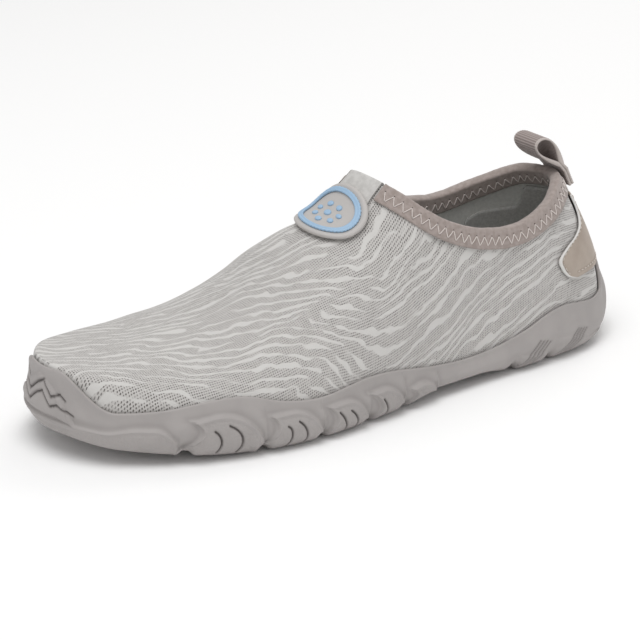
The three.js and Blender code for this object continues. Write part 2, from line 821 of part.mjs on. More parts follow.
function badgeDisc(innerShare, outerShare, base, top) {
  const spokes = 24;
  const onRidge = { turn: turnAt((throatAt + badgeSetback) / lastLength), sweep: quarter - 1e-6 };
  const centre = walk(onRidge, new THREE.Vector3(0, 1, 0), badgeAside);
  const place = (angle, share) => {
    const direction = new THREE.Vector3(cos(angle), sin(angle), 0);
    return walk(centre, direction, max(badgeRadius(angle) * share, 1e-3));
  };
  const at = (angle, share, offset) => {
    const spot = place(angle, share);
    return offsetPoint(spot.turn, spot.sweep, offset);
  };
  const shares = innerShare > 0 ? [innerShare, outerShare] : [0.35, 0.7, outerShare];
  const ringsOf = (offset) => {
    const rings = [];
    for (let i = 0; i <= spokes; i += 1) {
      const angle = ((i % spokes) / spokes) * 2 * PI;
      rings.push(shares.map((share) => at(angle, share, offset)));
    }
    return rings;
  };
  const upper = ringsOf(top);
  const lower = ringsOf(base);
  const faces = [];
  gridFaces(upper, faces, false);
  gridFaces(lower, faces, true);
  const end = shares.length - 1;
  for (let i = 0; i < spokes; i += 1) {
    faces.push([upper[i][end], upper[i + 1][end], lower[i + 1][end]], [upper[i][end], lower[i + 1][end], lower[i][end]]);
    if (innerShare > 0) {
      faces.push([upper[i][0], lower[i + 1][0], upper[i + 1][0]], [upper[i][0], lower[i][0], lower[i + 1][0]]);
    } else {
      faces.push([upper[i][0], offsetPoint(centre.turn, centre.sweep, top), upper[i + 1][0]]);
      faces.push([lower[i + 1][0], offsetPoint(centre.turn, centre.sweep, base), lower[i][0]]);
    }
  }
  return geometryOf(faces);
}

const badgeBase = clearance + foldGap + bindingThickness * 0.8;

function badgeSolid() {
  return badgeDisc(0, 1, badgeBase, badgeBase + badgeThickness);
}

function badgeRimSolid() {
  const rimOuter = 0.84;
  const rimInner = rimOuter - (2 * badgeRimWidth) / badgeWidth;
  const base = badgeBase + badgeThickness + clearance;
  return badgeDisc(rimInner, rimOuter, base, base + badgeRimHeight);
}

// A teardrop outline standing on its point
function teardrop(halfBreadth, height, foot) {
  const points = [];
  const turns = 20;
  for (let i = 0; i < turns; i += 1) {
    const angle = (2 * PI * i) / turns;
    const breadth = halfBreadth * sin(angle) * abs(sin(angle / 2)) ** 1.3;
    const rise = foot + (height * (1 - cos(angle))) / 2;
    points.push(new THREE.Vector2(loopNod * rise - breadth * 1.12, rise));
  }
  return points;
}

// The pull loop: a tape folded into a teardrop, its stem against the back of the binding
function pullLoopSolid() {
  const { sweep } = collarEdge(1);
  const { climb } = surfaceFrame(0, sweep);
  const back = offsetPoint(0, sweep, loopGap + foldGap + bindingThickness);
  const outer = teardrop(loopDepth / 2, loopHeight, 0);
  const innerHeight = loopHeight - loopTapeThickness - loopPinch;
  const inner = teardrop(loopDepth / 2 - loopTapeThickness, innerHeight, loopPinch);
  const shape = new THREE.Shape([
    new THREE.Vector2(loopTapeThickness, -loopStem),
    new THREE.Vector2(-loopTapeThickness, -loopStem),
    ...outer.slice(2, -1).map((point, i) => (i === 0 ? point.setX(-loopTapeThickness) : point)),
  ]);
  shape.holes.push(new THREE.Path(inner.slice(1).reverse()));
  const geometry = new THREE.ExtrudeGeometry(shape, { depth: loopTapeWidth, bevelEnabled: false });
  geometry.deleteAttribute('normal');
  geometry.deleteAttribute('uv');
  geometry.rotateX(quarter);
  geometry.translate(-loopTapeThickness, loopTapeWidth / 2, 0);
  geometry.rotateY(Math.atan2(climb.x, climb.z));
  geometry.translate(back.x, 0, back.z);
  return fromManifold(solid(mergeVertices(geometry, 1e-4)));
}

function mesh(name, geometry, colour, roughness) {
  const material = new THREE.MeshStandardMaterial({ color: colour, roughness, metalness: 0 });
  const made = new THREE.Mesh(facingOut(geometry), material);
  made.name = name;
  return made;
}

const shoe = new THREE.Group();
shoe.add(
  mesh('sole', soleSolid(), colours.rubber, 0.6),
  mesh('upper', upperSolid(), colours.knit, 0.95),
  mesh('insole', insoleSolid(), colours.insole, 0.95),
  mesh('collar_binding', bindingSolid(), colours.binding, 0.9),
  mesh('throat_insert', throatInsertSolid(), colours.insert, 0.9),
  mesh('heel_patch', heelPatchSolid(), colours.patch, 0.55),
  mesh('badge', badgeSolid(), colours.badge, 0.5),
  mesh('badge_rim', badgeRimSolid(), colours.badgeRim, 0.5),
  mesh('pull_loop', pullLoopSolid(), colours.tape, 0.9),
);

// The origin is under the middle of the whole shoe, on the ground
const bounds = new THREE.Box3().setFromObject(shoe);
const middle = bounds.getCenter(new THREE.Vector3());
shoe.position.set(-middle.x, -middle.y, -bounds.min.z);

export default shoe;
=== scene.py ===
import math

import bmesh
import bpy
import numpy as np
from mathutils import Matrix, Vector


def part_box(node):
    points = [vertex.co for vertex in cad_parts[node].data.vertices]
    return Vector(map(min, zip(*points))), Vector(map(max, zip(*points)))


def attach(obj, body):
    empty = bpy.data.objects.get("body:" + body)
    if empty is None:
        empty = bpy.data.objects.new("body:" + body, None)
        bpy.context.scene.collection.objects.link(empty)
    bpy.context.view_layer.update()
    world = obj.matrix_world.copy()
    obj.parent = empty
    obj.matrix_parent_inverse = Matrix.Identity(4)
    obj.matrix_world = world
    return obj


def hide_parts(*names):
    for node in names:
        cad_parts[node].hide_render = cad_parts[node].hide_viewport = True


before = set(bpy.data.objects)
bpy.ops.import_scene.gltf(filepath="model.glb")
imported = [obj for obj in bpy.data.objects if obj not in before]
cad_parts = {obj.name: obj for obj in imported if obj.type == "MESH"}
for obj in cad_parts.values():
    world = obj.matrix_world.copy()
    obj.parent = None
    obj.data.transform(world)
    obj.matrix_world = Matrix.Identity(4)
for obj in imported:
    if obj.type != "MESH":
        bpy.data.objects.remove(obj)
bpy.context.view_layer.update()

mm = 0.001
quarter = math.pi / 2
tiny = 1e-4

# The shoe is worked out in millimetres: x from the heel to the toe, y to the outer side, z up.
# A place on it is (turn, sweep). turn runs round the foot from the heel, 0, to the toe, 1 on the outer side
# and -1 on the inner side. sweep climbs from the sole's floor, 0, to the top ridge, a quarter turn.
# the last

last = {
    "length": 266, "ballWidth": 97,
    "throatAt": 118, "throatHeight": 87.5, "coneRise": 7, "toeHeight": 36.2,
    "heelHeight": 72.5, "sideHeight": 62, "toeInset": 6, "heelInset": 37.5,
    "heelBulge": 3.4, "bulgeEnd": 0.15, "bulgeTop": 0.95, "bulgeSkew": 0.65,
    "outlineAt": (0, 0.03, 0.08, 0.16, 0.26, 0.38, 0.5, 0.6, 0.67, 0.76, 0.84, 0.91, 0.96, 1),
    "outlineOuter": (0, 0.2, 0.285, 0.33, 0.345, 0.375, 0.43, 0.475, 0.485, 0.46, 0.4, 0.3, 0.19, -0.08),
    "outlineInner": (0, 0.2, 0.285, 0.32, 0.305, 0.295, 0.36, 0.45, 0.5, 0.515, 0.49, 0.42, 0.33, 0.08),
    "ridgeWay": (0, 0.1, 0.2, 0.27, 0.34, 0.405, 0.515, 0.66, 0.82, 1),
    "ridgeRise": (1, 0.74, 0.63, 0.515, 0.375, 0.26, 0.13, 0.03, 0.005, 0),
    "sectionAt": (0, 0.06, 0.2, 0.42, 0.6, 0.75, 0.9, 1),
    "fullness": (-0.26, -0.14, 0.04, 0.02, 0.1, 0.2, 0.45, 0.8),
    "lean": (0, 0, 0, 0.02, 0.06, 0.1, 0.15, 0.18),
    "collarWay": (0, 0.12, 0.3, 0.46, 0.56),
    "collarRise": (1, 0.93, 0.42, 0.05, 0),
    "collarFrontWay": (0.56, 0.7, 0.85, 1),
    "collarFrontRise": (0, 0.13, 0.44, 1),
}

wall = {
    "thickness": 7, "toeSpring": 7.5, "springStart": 0.68,
    "archRise": 3, "archAt": (0.22, 0.5), "archFade": 0.1,
    "heelBevel": 7, "bevelEnd": 0.09, "capFrom": 0.85, "capFade": 0.1, "tabFade": 8,
    "height": 24, "toeCapHeight": 35.8, "heelTabHeight": 32, "heelTabWidth": 32,
    "lip": 1.8, "flare": 3.6, "edgeInset": 3.5, "clearance": 0.35,
    "edgeAt": (0, 0.06, 0.13, 0.17, 0.22, 0.28, 0.35, 0.42, 0.5, 0.56, 0.65, 0.71, 0.77, 0.83, 0.9, 1),
    "edgeOuter": (0.95, 0.87, 0.98, 0.93, 0.74, 0.6, 0.555, 0.63, 0.79, 0.84, 0.76, 0.83, 1, 1.01, 0.94, 0.92),
    "edgeInner": (0.95, 0.87, 0.98, 0.94, 0.8, 0.7, 0.7, 0.77, 0.86, 0.88, 0.8, 0.86, 1, 1.01, 0.96, 0.92),
    "faceUp": (0, 0.08, 0.25, 0.45, 0.7, 0.9, 1),
    "faceOut": (-1, -0.1, 0.75, 1, 0.88, 0.62, 0.5),
    "channels": (0.17, 0.246, 0.483, 0.557, 0.648, 0.7465, 0.862), "channelWidth": 4, "channelDepth": 2.2,
}


def smooth(x):
    u = np.clip(x, 0, 1)
    return u * u * (3 - 2 * u)


def curveThrough(xs, ys):
    xs = np.array(xs, float)
    ys = np.array(ys, float)
    low = np.maximum(np.arange(len(xs)) - 1, 0)
    high = np.minimum(np.arange(len(xs)) + 1, len(xs) - 1)
    slopes = (ys[high] - ys[low]) / (xs[high] - xs[low])

    def at(x):
        x = np.clip(np.asarray(x, float), xs[0], xs[-1])
        i = np.clip(np.searchsorted(xs, x) - 1, 0, len(xs) - 2)
        width = xs[i + 1] - xs[i]
        u = (x - xs[i]) / width
        v = 1 - u
        start = ys[i] * v * v * (1 + 2 * u) + slopes[i] * width * v * v * u
        return start + ys[i + 1] * u * u * (3 - 2 * u) - slopes[i + 1] * width * u * u * v

    return at


def turnAt(share):
    return np.arccos(1 - 2 * np.asarray(share, float)) / math.pi


def shareAt(turn):
    return (1 - np.cos(math.pi * np.abs(turn))) / 2


outerHalf = curveThrough(turnAt(last["outlineAt"]), last["outlineOuter"])
innerHalf = curveThrough(turnAt(last["outlineAt"]), last["outlineInner"])
ridgeRise = curveThrough(last["ridgeWay"], last["ridgeRise"])
fullnessAt = curveThrough(last["sectionAt"], last["fullness"])
leanAt = curveThrough(last["sectionAt"], last["lean"])
collarBackRise = curveThrough(last["collarWay"], last["collarRise"])
collarFrontRise = curveThrough(last["collarFrontWay"], last["collarFrontRise"])
outerEdge = curveThrough(wall["edgeAt"], wall["edgeOuter"])
innerEdge = curveThrough(wall["edgeAt"], wall["edgeInner"])
faceOut = curveThrough(wall["faceUp"], wall["faceOut"])

throatShare = last["throatAt"] / last["length"]
throatTurn = float(turnAt(throatShare))
instepDrop = (last["throatHeight"] - last["toeHeight"]) / (last["length"] - last["throatAt"])
instepSlope = float(1 - ridgeRise(0.01)) / 0.01 * instepDrop


def joined(x, y, z):
    return np.stack(np.broadcast_arrays(x, y, z), axis=-1).astype(float)


def unit(v):
    return v / np.linalg.norm(v, axis=-1, keepdims=True)


# lengths along a line of points, from 0 at its first point
def lengthAlong(line):
    return np.concatenate([[0], np.cumsum(np.linalg.norm(np.diff(line, axis=0), axis=1))])


def wrap(turn):
    turn = np.asarray(turn, float)
    return np.where(np.abs(turn) > 1, turn - 2 * np.sign(turn), turn)


def springHeight(share):
    return wall["toeSpring"] * np.maximum(0, (share - wall["springStart"]) / (1 - wall["springStart"])) ** 2


def featherHeight(share):
    return wall["thickness"] + springHeight(share)


def groundHeight(share):
    start, end = wall["archAt"]
    arch = smooth((share - start) / wall["archFade"]) * smooth((end - share) / wall["archFade"])
    bevel = wall["heelBevel"] * np.maximum(0, 1 - share / wall["bevelEnd"]) ** 2
    cut = np.zeros(np.shape(share))
    for channel in wall["channels"]:
        away = np.abs(share - channel) * last["length"] / wall["channelWidth"]
        cut = np.maximum(cut, wall["channelDepth"] * smooth((0.95 - away) / 0.75))
    return springHeight(share) + wall["archRise"] * arch + bevel + cut


def footPoint(turn):
    share = shareAt(turn)
    half = last["ballWidth"] * np.where(turn >= 0, outerHalf(np.abs(turn)), innerHalf(np.abs(turn)))
    return joined(last["length"] * share, np.sign(turn) * half, featherHeight(share))


def ridgePoint(turn):
    share = shareAt(turn)
    back = np.maximum(0, 1 - share / throatShare)
    front = np.maximum(0, (share - throatShare) / (1 - throatShare))
    x = last["length"] * share + last["heelInset"] * back ** 2 - last["toeInset"] * front ** 3
    cone = instepSlope * last["throatAt"] * back * (1 - back) ** 2 + last["coneRise"] * back ** 2
    rise = (last["throatHeight"] - last["toeHeight"]) * ridgeRise(front)
    return joined(x, -last["ballWidth"] * leanAt(share), last["toeHeight"] + rise + cone)


def lastPoint(turn, sweep):
    turn, sweep = np.broadcast_arrays(np.asarray(turn, float), np.asarray(sweep, float))
    turn = wrap(np.where(sweep > quarter, -turn, turn))
    sweep = np.where(sweep > quarter, 2 * quarter - sweep, sweep)
    foot = footPoint(turn)
    ridge = ridgePoint(turn)
    k = fullnessAt(shareAt(turn))
    across = (1 - np.cos(sweep) * (1 + k * np.sin(sweep) ** 2))[..., None]
    up = np.sin(sweep) * (1 + k * np.cos(sweep) ** 2)
    point = foot * (1 - across) + ridge * across
    point[..., 2] = foot[..., 2] * (1 - up) + ridge[..., 2] * up
    behind = np.maximum(0, 1 - shareAt(turn) / last["bulgeEnd"]) ** 2
    climb = np.minimum(1, sweep / last["bulgeTop"]) ** last["bulgeSkew"]
    point[..., 0] -= last["heelBulge"] * behind * np.sin(math.pi * climb)
    return point


def surfaceFrame(turn, sweep):
    turn, sweep = np.broadcast_arrays(np.asarray(turn, float), np.asarray(sweep, float))
    along = (lastPoint(turn + tiny, sweep) - lastPoint(turn - tiny, sweep)) / (2 * tiny)
    low = np.where(sweep < tiny, sweep, sweep - tiny)
    climb = (lastPoint(turn, sweep + tiny) - lastPoint(turn, low)) / (sweep + tiny - low)[..., None]
    return along, climb, unit(np.cross(climb, along))


def offsetPoint(turn, sweep, distance):
    return lastPoint(turn, sweep) + surfaceFrame(turn, sweep)[2] * np.asarray(distance, float)[..., None]


def sweepAtHeight(turn, height):
    turn, height = np.broadcast_arrays(np.asarray(turn, float), np.asarray(height, float))
    share = shareAt(turn)
    low = featherHeight(share)
    goal = (height - low) / (ridgePoint(turn)[..., 2] - low)
    under, over = np.zeros(goal.shape), np.full(goal.shape, quarter)
    k = fullnessAt(share)
    for _ in range(34):
        middle = (under + over) / 2
        short = np.sin(middle) * (1 + k * np.cos(middle) ** 2) < goal
        under = np.where(short, middle, under)
        over = np.where(short, over, middle)
    return np.where(goal >= 1, quarter, np.where(goal <= 0, 0, (under + over) / 2))


def collarHeight(share):
    way = share / throatShare
    back = last["sideHeight"] + (last["heelHeight"] - last["sideHeight"]) * collarBackRise(way)
    front = last["sideHeight"] + (last["throatHeight"] - last["sideHeight"]) * collarFrontRise(way)
    return np.where(way < last["collarWay"][-1], back, front)


def topSweep(turn):
    turn = np.asarray(turn, float)
    return np.where(np.abs(turn) >= throatTurn, quarter, sweepAtHeight(turn, collarHeight(shareAt(turn))))


def planNormal(turn):
    tangent = footPoint(np.minimum(turn + tiny, 1)) - footPoint(np.maximum(turn - tiny, -1))
    return unit(joined(-tangent[..., 1], tangent[..., 0], 0))


def soleTop(turn):
    share = shareAt(turn)
    edge = np.where(turn >= 0, outerEdge(share), innerEdge(share))
    wave = wall["height"] * edge
    cap = smooth((np.abs(turn) - wall["capFrom"]) / wall["capFade"])
    arc = np.abs(footPoint(turn)[..., 1])
    inTab = ((wall["heelTabWidth"] + wall["tabFade"]) / 2 - arc) / wall["tabFade"]
    tab = np.where(share < 0.2, smooth(inTab), 0)
    base = wave + (wall["toeCapHeight"] - wave) * cap
    return base + (wall["heelTabHeight"] - base) * tab


# The collar's edge: 0 at the throat, 1 at the heel by way of the outer side, 2 back at the throat
def collarEdge(edge):
    edge = np.asarray(edge, float)
    signed = np.where(edge > 1, edge - 2, edge)
    turn = np.where(signed >= 0, 1, -1) * throatTurn * (1 - signed ** 2)
    return turn, np.where(signed == 0, quarter, topSweep(turn))


def collarAway(edge):
    ahead = lastPoint(*collarEdge(edge + 1e-3))
    behind = lastPoint(*collarEdge(edge - 1e-3))
    return unit(np.cross(unit(ahead - behind), surfaceFrame(*collarEdge(edge))[2]))


# Walks over the last, holding the heading as straight as the surface allows; gives every place on the way
def walkOver(turn, sweep, heading, distance, steps):
    turn, sweep = np.array(turn, float), np.array(sweep, float)
    heading = np.array(heading, float)
    places = [(turn.copy(), sweep.copy())]
    for _ in range(steps):
        along, climb, normal = surfaceFrame(turn, sweep)
        heading = unit(heading - normal * np.sum(heading * normal, axis=-1, keepdims=True))
        aa, ac, cc = (np.sum(u * v, axis=-1) for u, v in ((along, along), (along, climb), (climb, climb)))
        ha, hc = np.sum(heading * along, axis=-1), np.sum(heading * climb, axis=-1)
        turn = turn + (ha * cc - hc * ac) / (aa * cc - ac * ac) * (distance / steps)
        sweep = sweep + (hc * aa - ha * ac) / (aa * cc - ac * ac) * (distance / steps)
        places.append((turn.copy(), sweep.copy()))
    return places


upperLow = lastPoint(0, topSweep(0) * (1 - (1 - np.arange(10) / 9) ** 1.2))[:, 0].min()
shift = np.array([
    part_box("upper")[0].x / mm - upperLow,
    (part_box("pull_loop")[0].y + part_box("pull_loop")[1].y) / 2 / mm,
    0.0,
])


def toScene(points):
    return (np.asarray(points, float) + shift) * mm


# camera and light

view = {
    "turn": 35, "rise": 20.3, "distance": 1200,  # degrees from the pure side towards the toe, degrees up, mm
    "target": (139, 0, 35),
    "pixelsPerMm": 2.43, "imageSide": 640, "sensor": 36,
    "targetPixel": (322, 307),
}


def makeCamera():
    turn, rise = math.radians(view["turn"]), math.radians(view["rise"])
    back = Vector((math.sin(turn) * math.cos(rise), math.cos(turn) * math.cos(rise), math.sin(rise)))
    side = view["imageSide"]
    data = bpy.data.cameras.new("camera")
    data.sensor_width = view["sensor"]
    data.lens = view["pixelsPerMm"] * view["distance"] / side * view["sensor"]
    data.shift_x = (side / 2 - view["targetPixel"][0]) / side
    data.shift_y = (view["targetPixel"][1] - side / 2) / side
    data.clip_start, data.clip_end = 0.05, 20
    camera = bpy.data.objects.new("camera", data)
    bpy.context.scene.collection.objects.link(camera)
    camera.location = Vector(toScene(view["target"])) + back * view["distance"] * mm
    camera.rotation_mode = "QUATERNION"
    camera.rotation_quaternion = (-back).to_track_quat("-Z", "Y")
    bpy.context.scene.camera = camera


light = {
    "world": 0.53,
    "worldColour": (1.0, 1.0, 1.0),
    "key": {"place": (0.35, 0.3, 1.5), "size": 1.2, "watts": 12.5, "colour": (1.0, 1.0, 1.0)},
    "rim": {"place": (-0.9, -0.5, 0.9), "size": 0.9, "watts": 2.5, "colour": (1.0, 0.98, 0.95)},
    "fill": {"place": (-0.7, 1.2, 0.5), "size": 1.4, "watts": 0.6, "colour": (1.0, 0.97, 0.94)},
}


def addLight(name):
    settings = light[name]
    data = bpy.data.lights.new(name, "AREA")
    data.shape = "DISK"
    data.size = settings["size"]
    data.energy = settings["watts"]
    data.color = settings["colour"]
    lamp = bpy.data.objects.new(name, data)
    bpy.context.scene.collection.objects.link(lamp)
    lamp.location = settings["place"]
    lamp.rotation_mode = "QUATERNION"
    lamp.rotation_quaternion = (-Vector(settings["place"])).to_track_quat("-Z", "Y")


def makeStudio():
    scene = bpy.context.scene
    scene.view_settings.view_transform = "Standard"
    scene.world = scene.world or bpy.data.worlds.new("studio")
    scene.world.use_nodes = True
    background = scene.world.node_tree.nodes["Background"]
    background.inputs["Color"].default_value = (*light["worldColour"], 1)
    background.inputs["Strength"].default_value = light["world"]
    for name in ("key", "rim", "fill"):
        addLight(name)


makeCamera()
makeStudio()
print("camera and light are set")


# mesh and material helpers

latticeAngles = np.random.RandomState(7).uniform(0, 2 * math.pi, (256, 256))


# smooth noise over a plane, about -0.7 to 0.7, one bump to a unit
def ripple(u, v):
    i, j = np.floor(u).astype(int), np.floor(v).astype(int)
    fu, fv = u - i, v - j
    total = np.zeros(np.shape(u))
    for di in (0, 1):
        for dj in (0, 1):
            angle = latticeAngles[(i + di) % 256, (j + dj) % 256]
            pull = np.cos(angle) * (fu - di) + np.sin(angle) * (fv - dj)
            total += pull * (1 - smooth(np.abs(fu - di))) * (1 - smooth(np.abs(fv - dj)))
    return total


# A mesh from points and faces; cloth holds two coordinates for each point, fields one value for each point
def makeMesh(name, points, faces, materials=(), cloth=None, fields=None, pick=None):
    mesh = bpy.data.meshes.new(name)
    mesh.from_pydata(toScene(points).tolist(), [], faces)
    if cloth is not None:
        corners = [corner for face in faces for corner in face]
        mesh.uv_layers.new(name="cloth").data.foreach_set("uv", cloth[corners].ravel())
    for key, values in (fields or {}).items():
        mesh.attributes.new(key, "FLOAT", "POINT").data.foreach_set("value", values)
    for material in materials:
        mesh.materials.append(material)
    if pick is not None:
        mesh.polygons.foreach_set("material_index", pick.astype(np.int32))
    mesh.polygons.foreach_set("use_smooth", [True] * len(mesh.polygons))
    mesh.update()
    piece = bpy.data.objects.new(name, mesh)
    bpy.context.scene.collection.objects.link(piece)
    return piece


def own(piece, slotName, *nodes):
    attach(piece, "root")
    if nodes:
        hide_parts(*nodes)
    return piece


# point numbers of a grid, counted row by row
def numbered(count, rows, start=0):
    return start + np.arange(count * rows).reshape(count, rows)


# repeats the first row after the last, or with axis 1 the first column
def closed(ids, axis=0):
    return np.concatenate([ids, np.take(ids, [0], axis=axis)], axis=axis)


# quads of a grid of point numbers, ids[i, j]
def gridQuads(ids, flip=False):
    a, b, c, d = ids[:-1, :-1], ids[1:, :-1], ids[1:, 1:], ids[:-1, 1:]
    quads = np.stack([d, c, b, a] if flip else [a, b, c, d], axis=-1)
    return quads.reshape(-1, 4)


# a narrow strip of quads between two lines of point numbers
def strip(line, other, flip=False):
    return gridQuads(np.stack([line, other], axis=1), flip)


# front, back and four narrow sides of a sheet, whose points are one grid and then the grid behind it
def sheetQuads(ids):
    behind = ids + ids.size
    faces = [gridQuads(ids), gridQuads(behind, True)]
    for line, flip in ((np.s_[:, 0], True), (np.s_[:, -1], False), (np.s_[0], False), (np.s_[-1], True)):
        faces.append(strip(ids[line], behind[line], flip))
    return np.concatenate(faces)


# drops the repeated corner where a quad has shrunk to a triangle
def cleanFaces(quads):
    faces = []
    for quad in np.asarray(quads).tolist():
        face = [corner for i, corner in enumerate(quad) if corner != quad[i - 1]]
        if len(face) > 2:
            faces.append(face)
    return faces


def fromHex(code):
    channels = [int(code[i:i + 2], 16) / 255 for i in (1, 3, 5)]
    return tuple(c / 12.92 if c <= 0.04045 else ((c + 0.055) / 1.055) ** 2.4 for c in channels) + (1.0,)


def addNode(tree, kind, inputs=None, **settings):
    made = tree.nodes.new(kind)
    for key, value in settings.items():
        setattr(made, key, value)
    for key, value in (inputs or {}).items():
        if isinstance(value, bpy.types.NodeSocket):
            tree.links.new(value, made.inputs[key])
        else:
            made.inputs[key].default_value = value
    return made


def newMaterial(name, colour, roughness, specular=0.5, sheen=0.0):
    material = bpy.data.materials.new(name)
    material.use_nodes = True
    tree = material.node_tree
    shader = tree.nodes["Principled BSDF"]
    shader.inputs["Base Color"].default_value = fromHex(colour)
    shader.inputs["Roughness"].default_value = roughness
    shader.inputs["Specular IOR Level"].default_value = specular
    shader.inputs["Sheen Weight"].default_value = sheen
    return material, tree, shader


def maths(tree, operation, a, b=0.0, c=0.0):
    return addNode(tree, "ShaderNodeMath", {0: a, 1: b, 2: c}, operation=operation).outputs[0]


def ramp(tree, value, low, high, start=0.0, end=1.0):
    inputs = {"Value": value, "From Min": low, "From Max": high, "To Min": start, "To Max": end}
    return addNode(tree, "ShaderNodeMapRange", inputs, interpolation_type="SMOOTHSTEP").outputs[0]


def blendColours(tree, share, a, b):
    made = addNode(tree, "ShaderNodeMix", {0: share, 6: a, 7: b}, data_type="RGBA")
    return made.outputs[2]


def noise(tree, vector, scale, detail=2.0, roughness=0.5):
    inputs = {"Vector": vector, "Scale": scale, "Detail": detail, "Roughness": roughness}
    return addNode(tree, "ShaderNodeTexNoise", inputs).outputs["Fac"]


def cells(tree, vector, scale):
    return addNode(tree, "ShaderNodeTexVoronoi", {"Vector": vector, "Scale": scale}).outputs["Distance"]


def waves(tree, value, apart):
    return maths(tree, "SINE", maths(tree, "MULTIPLY", value, 2 * math.pi / apart))


def placeOf(tree):
    return addNode(tree, "ShaderNodeTexCoord").outputs["Object"]


def clothOf(tree):
    return addNode(tree, "ShaderNodeUVMap", uv_map="cloth").outputs[0]


def clothAxes(tree):
    parts = addNode(tree, "ShaderNodeSeparateXYZ", {"Vector": clothOf(tree)})
    return parts.outputs["X"], parts.outputs["Y"]


def fieldOf(tree, name):
    return addNode(tree, "ShaderNodeAttribute", attribute_name=name).outputs["Fac"]


def addBump(tree, shader, height, distance, strength=1.0, onto=None):
    inputs = {"Height": height, "Distance": distance, "Strength": strength}
    if onto is not None:
        inputs["Normal"] = onto
    normal = addNode(tree, "ShaderNodeBump", inputs).outputs[0]
    tree.links.new(normal, shader.inputs["Normal"])
    return normal


def paint(tree, shader, colour):
    tree.links.new(colour, shader.inputs["Base Color"])


# two close colours in soft patches
def paintMottled(tree, shader, vector, scale, detail, colours):
    share = ramp(tree, noise(tree, vector, scale, detail), 0.3, 0.7)
    paint(tree, shader, blendColours(tree, share, *(fromHex(colour) for colour in colours)))


# the sole

sole = {
    "columns": 610, "rows": 50, "lipRows": 8, "innerRows": 5, "acrossRows": 32, "floorRows": 3,
    "lipRound": 0.72, "heelRound": 1.4, "heelRoundEnd": 0.12, "toeRound": 1.6, "toeRoundStart": 0.86,
    "lugRise": 1.0, "rimRise": 0.5, "rimIn": 0.8, "rimWide": 0.5, "bankOut": 0.25, "bankWide": 0.6,
    "pebbleIn": 1.4, "pebbleFade": 0.8,
    "scoop": 0.4, "scoopReach": 3.2, "scoopFade": 1.5, "scoopTop": 0.93,
    "sipeWidth": 0.4, "sipeDepth": 1.1, "heelCutDepth": 0.55,
    "treadApart": 7.5, "treadRise": 0.35, "treadSlant": 0.035,
    "colours": ("#A5A09E", "#5F5A58"),  # plain, and a painted shade deep in the cuts and the hollows round the lugs
}
# How a lug's front edge is hollowed, how its back falls, and how its two distances are weighed
lugShape = {"hollow": 5.5, "hollowPower": 0.8, "fallPower": 2.1, "fallRound": 0.75, "slope": 1.4, "front": 0.9}

# Side lugs seen from the outer side, (x, z) in mm: their front foot, tip, crest and back foot
lugs = (
    {"foot": (231.4, 7.5), "tip": (226.8, 17.8), "crest": (216.7, 18.8), "back": (199.5, 6.5)},
    {"foot": (202.5, 3.6), "tip": (196.7, 15.5), "crest": (186.7, 15.6), "back": (173.0, 4.0)},
    {"foot": (174.6, 1.3), "tip": (171.0, 14.1), "crest": (161.8, 14.4), "back": (150.0, 3.5)},
    {"foot": (148.0, 0.3), "tip": (149.0, 13.9), "crest": (142.2, 14.1), "back": (129.5, 4.5)},
    {"foot": (130.4, 2.2), "tip": (126.9, 10.0), "crest": (120.0, 10.6), "back": (110.5, 4.5)},
)

# Thin cuts across the lugs, from their top to the ground
sipes = (
    ((219, 13.6), (216.7, 9.6), (218.1, 4.0)), ((213.3, 14.9), (208.7, 10), (210.3, 3.0)),
    ((189.7, 10.7), (188, 7.8), (189.1, 1.5)), ((184.6, 11.6), (181.4, 7.2), (181.5, 1.0)),
    ((165.8, 11), (162.7, 6.4), (161.1, 0.2)), ((160.1, 10.5), (156.7, 6.4), (155.1, 0.5)),
    ((142.5, 10.2), (140, 6.3), (138.5, 0.5)),
)
heelCuts = tuple(
    ((foot - back, 3.0), (foot - 4.4 - back, 6.6), (foot - 11 - 0.7 * back, 12 - 0.15 * back))
    for foot in (62.5, 40.5) for back in (0, 2.5, 5, 7.5)
)

# The long lug under the toe, with its top as a share of the side wall's height over the turn
toeLug = {
    "from": 0.765, "end": 0.768, "endSlope": 420, "span": 0.9, "rise": 0.8, "rim": 0.45,
    "topAt": (0.765, 0.785, 0.805, 0.829, 0.873, 0.93, 1),
    "top": (0.3, 0.61, 0.655, 0.65, 0.51, 0.34, 0.32),
    "scoop": 0.7, "scoopFrom": 0.75, "scoopAway": 1.6,
}
toeLugTop = curveThrough(toeLug["topAt"], toeLug["top"])

# The lens-shaped panel above it. Its zigzags are (y from its middle, z): one half, mirrored past the middle
toePanel = {
    "end": 0.912, "low": 0.38, "lowDrop": 0.04, "tall": 0.5, "least": 0.015,
    "rise": 0.9, "rim": 0.3, "bankOut": 0.3, "bankWide": 0.7, "rimIn": 0.6, "rimWide": 0.5,
    "wallHeight": 28, "endSlope": 260,
    "zigzagDepth": 1.1, "zigzagFrom": 0.88, "zigzagMiddle": 5,
    "zigzags": (
        ((-5, 25.4), (0, 29.6), (3.2, 31.4), (8, 25.9), (11.5, 27.2), (14.2, 25.2)),
        ((-5, 21.2), (0, 25.4), (3.2, 27.0), (8, 21.9), (11.2, 23.2), (18, 19.8)),
    ),
}

# Two low lugs on each side of the heel, from and to as shares of the length
heelLugs = {
    "ends": ((0.24, 0.175), (0.163, 0.04)), "rise": 0.75, "pebble": 0.6,
    "endFade": 9, "top": 0.5, "topFall": 0.18, "topFade": 0.09,
}


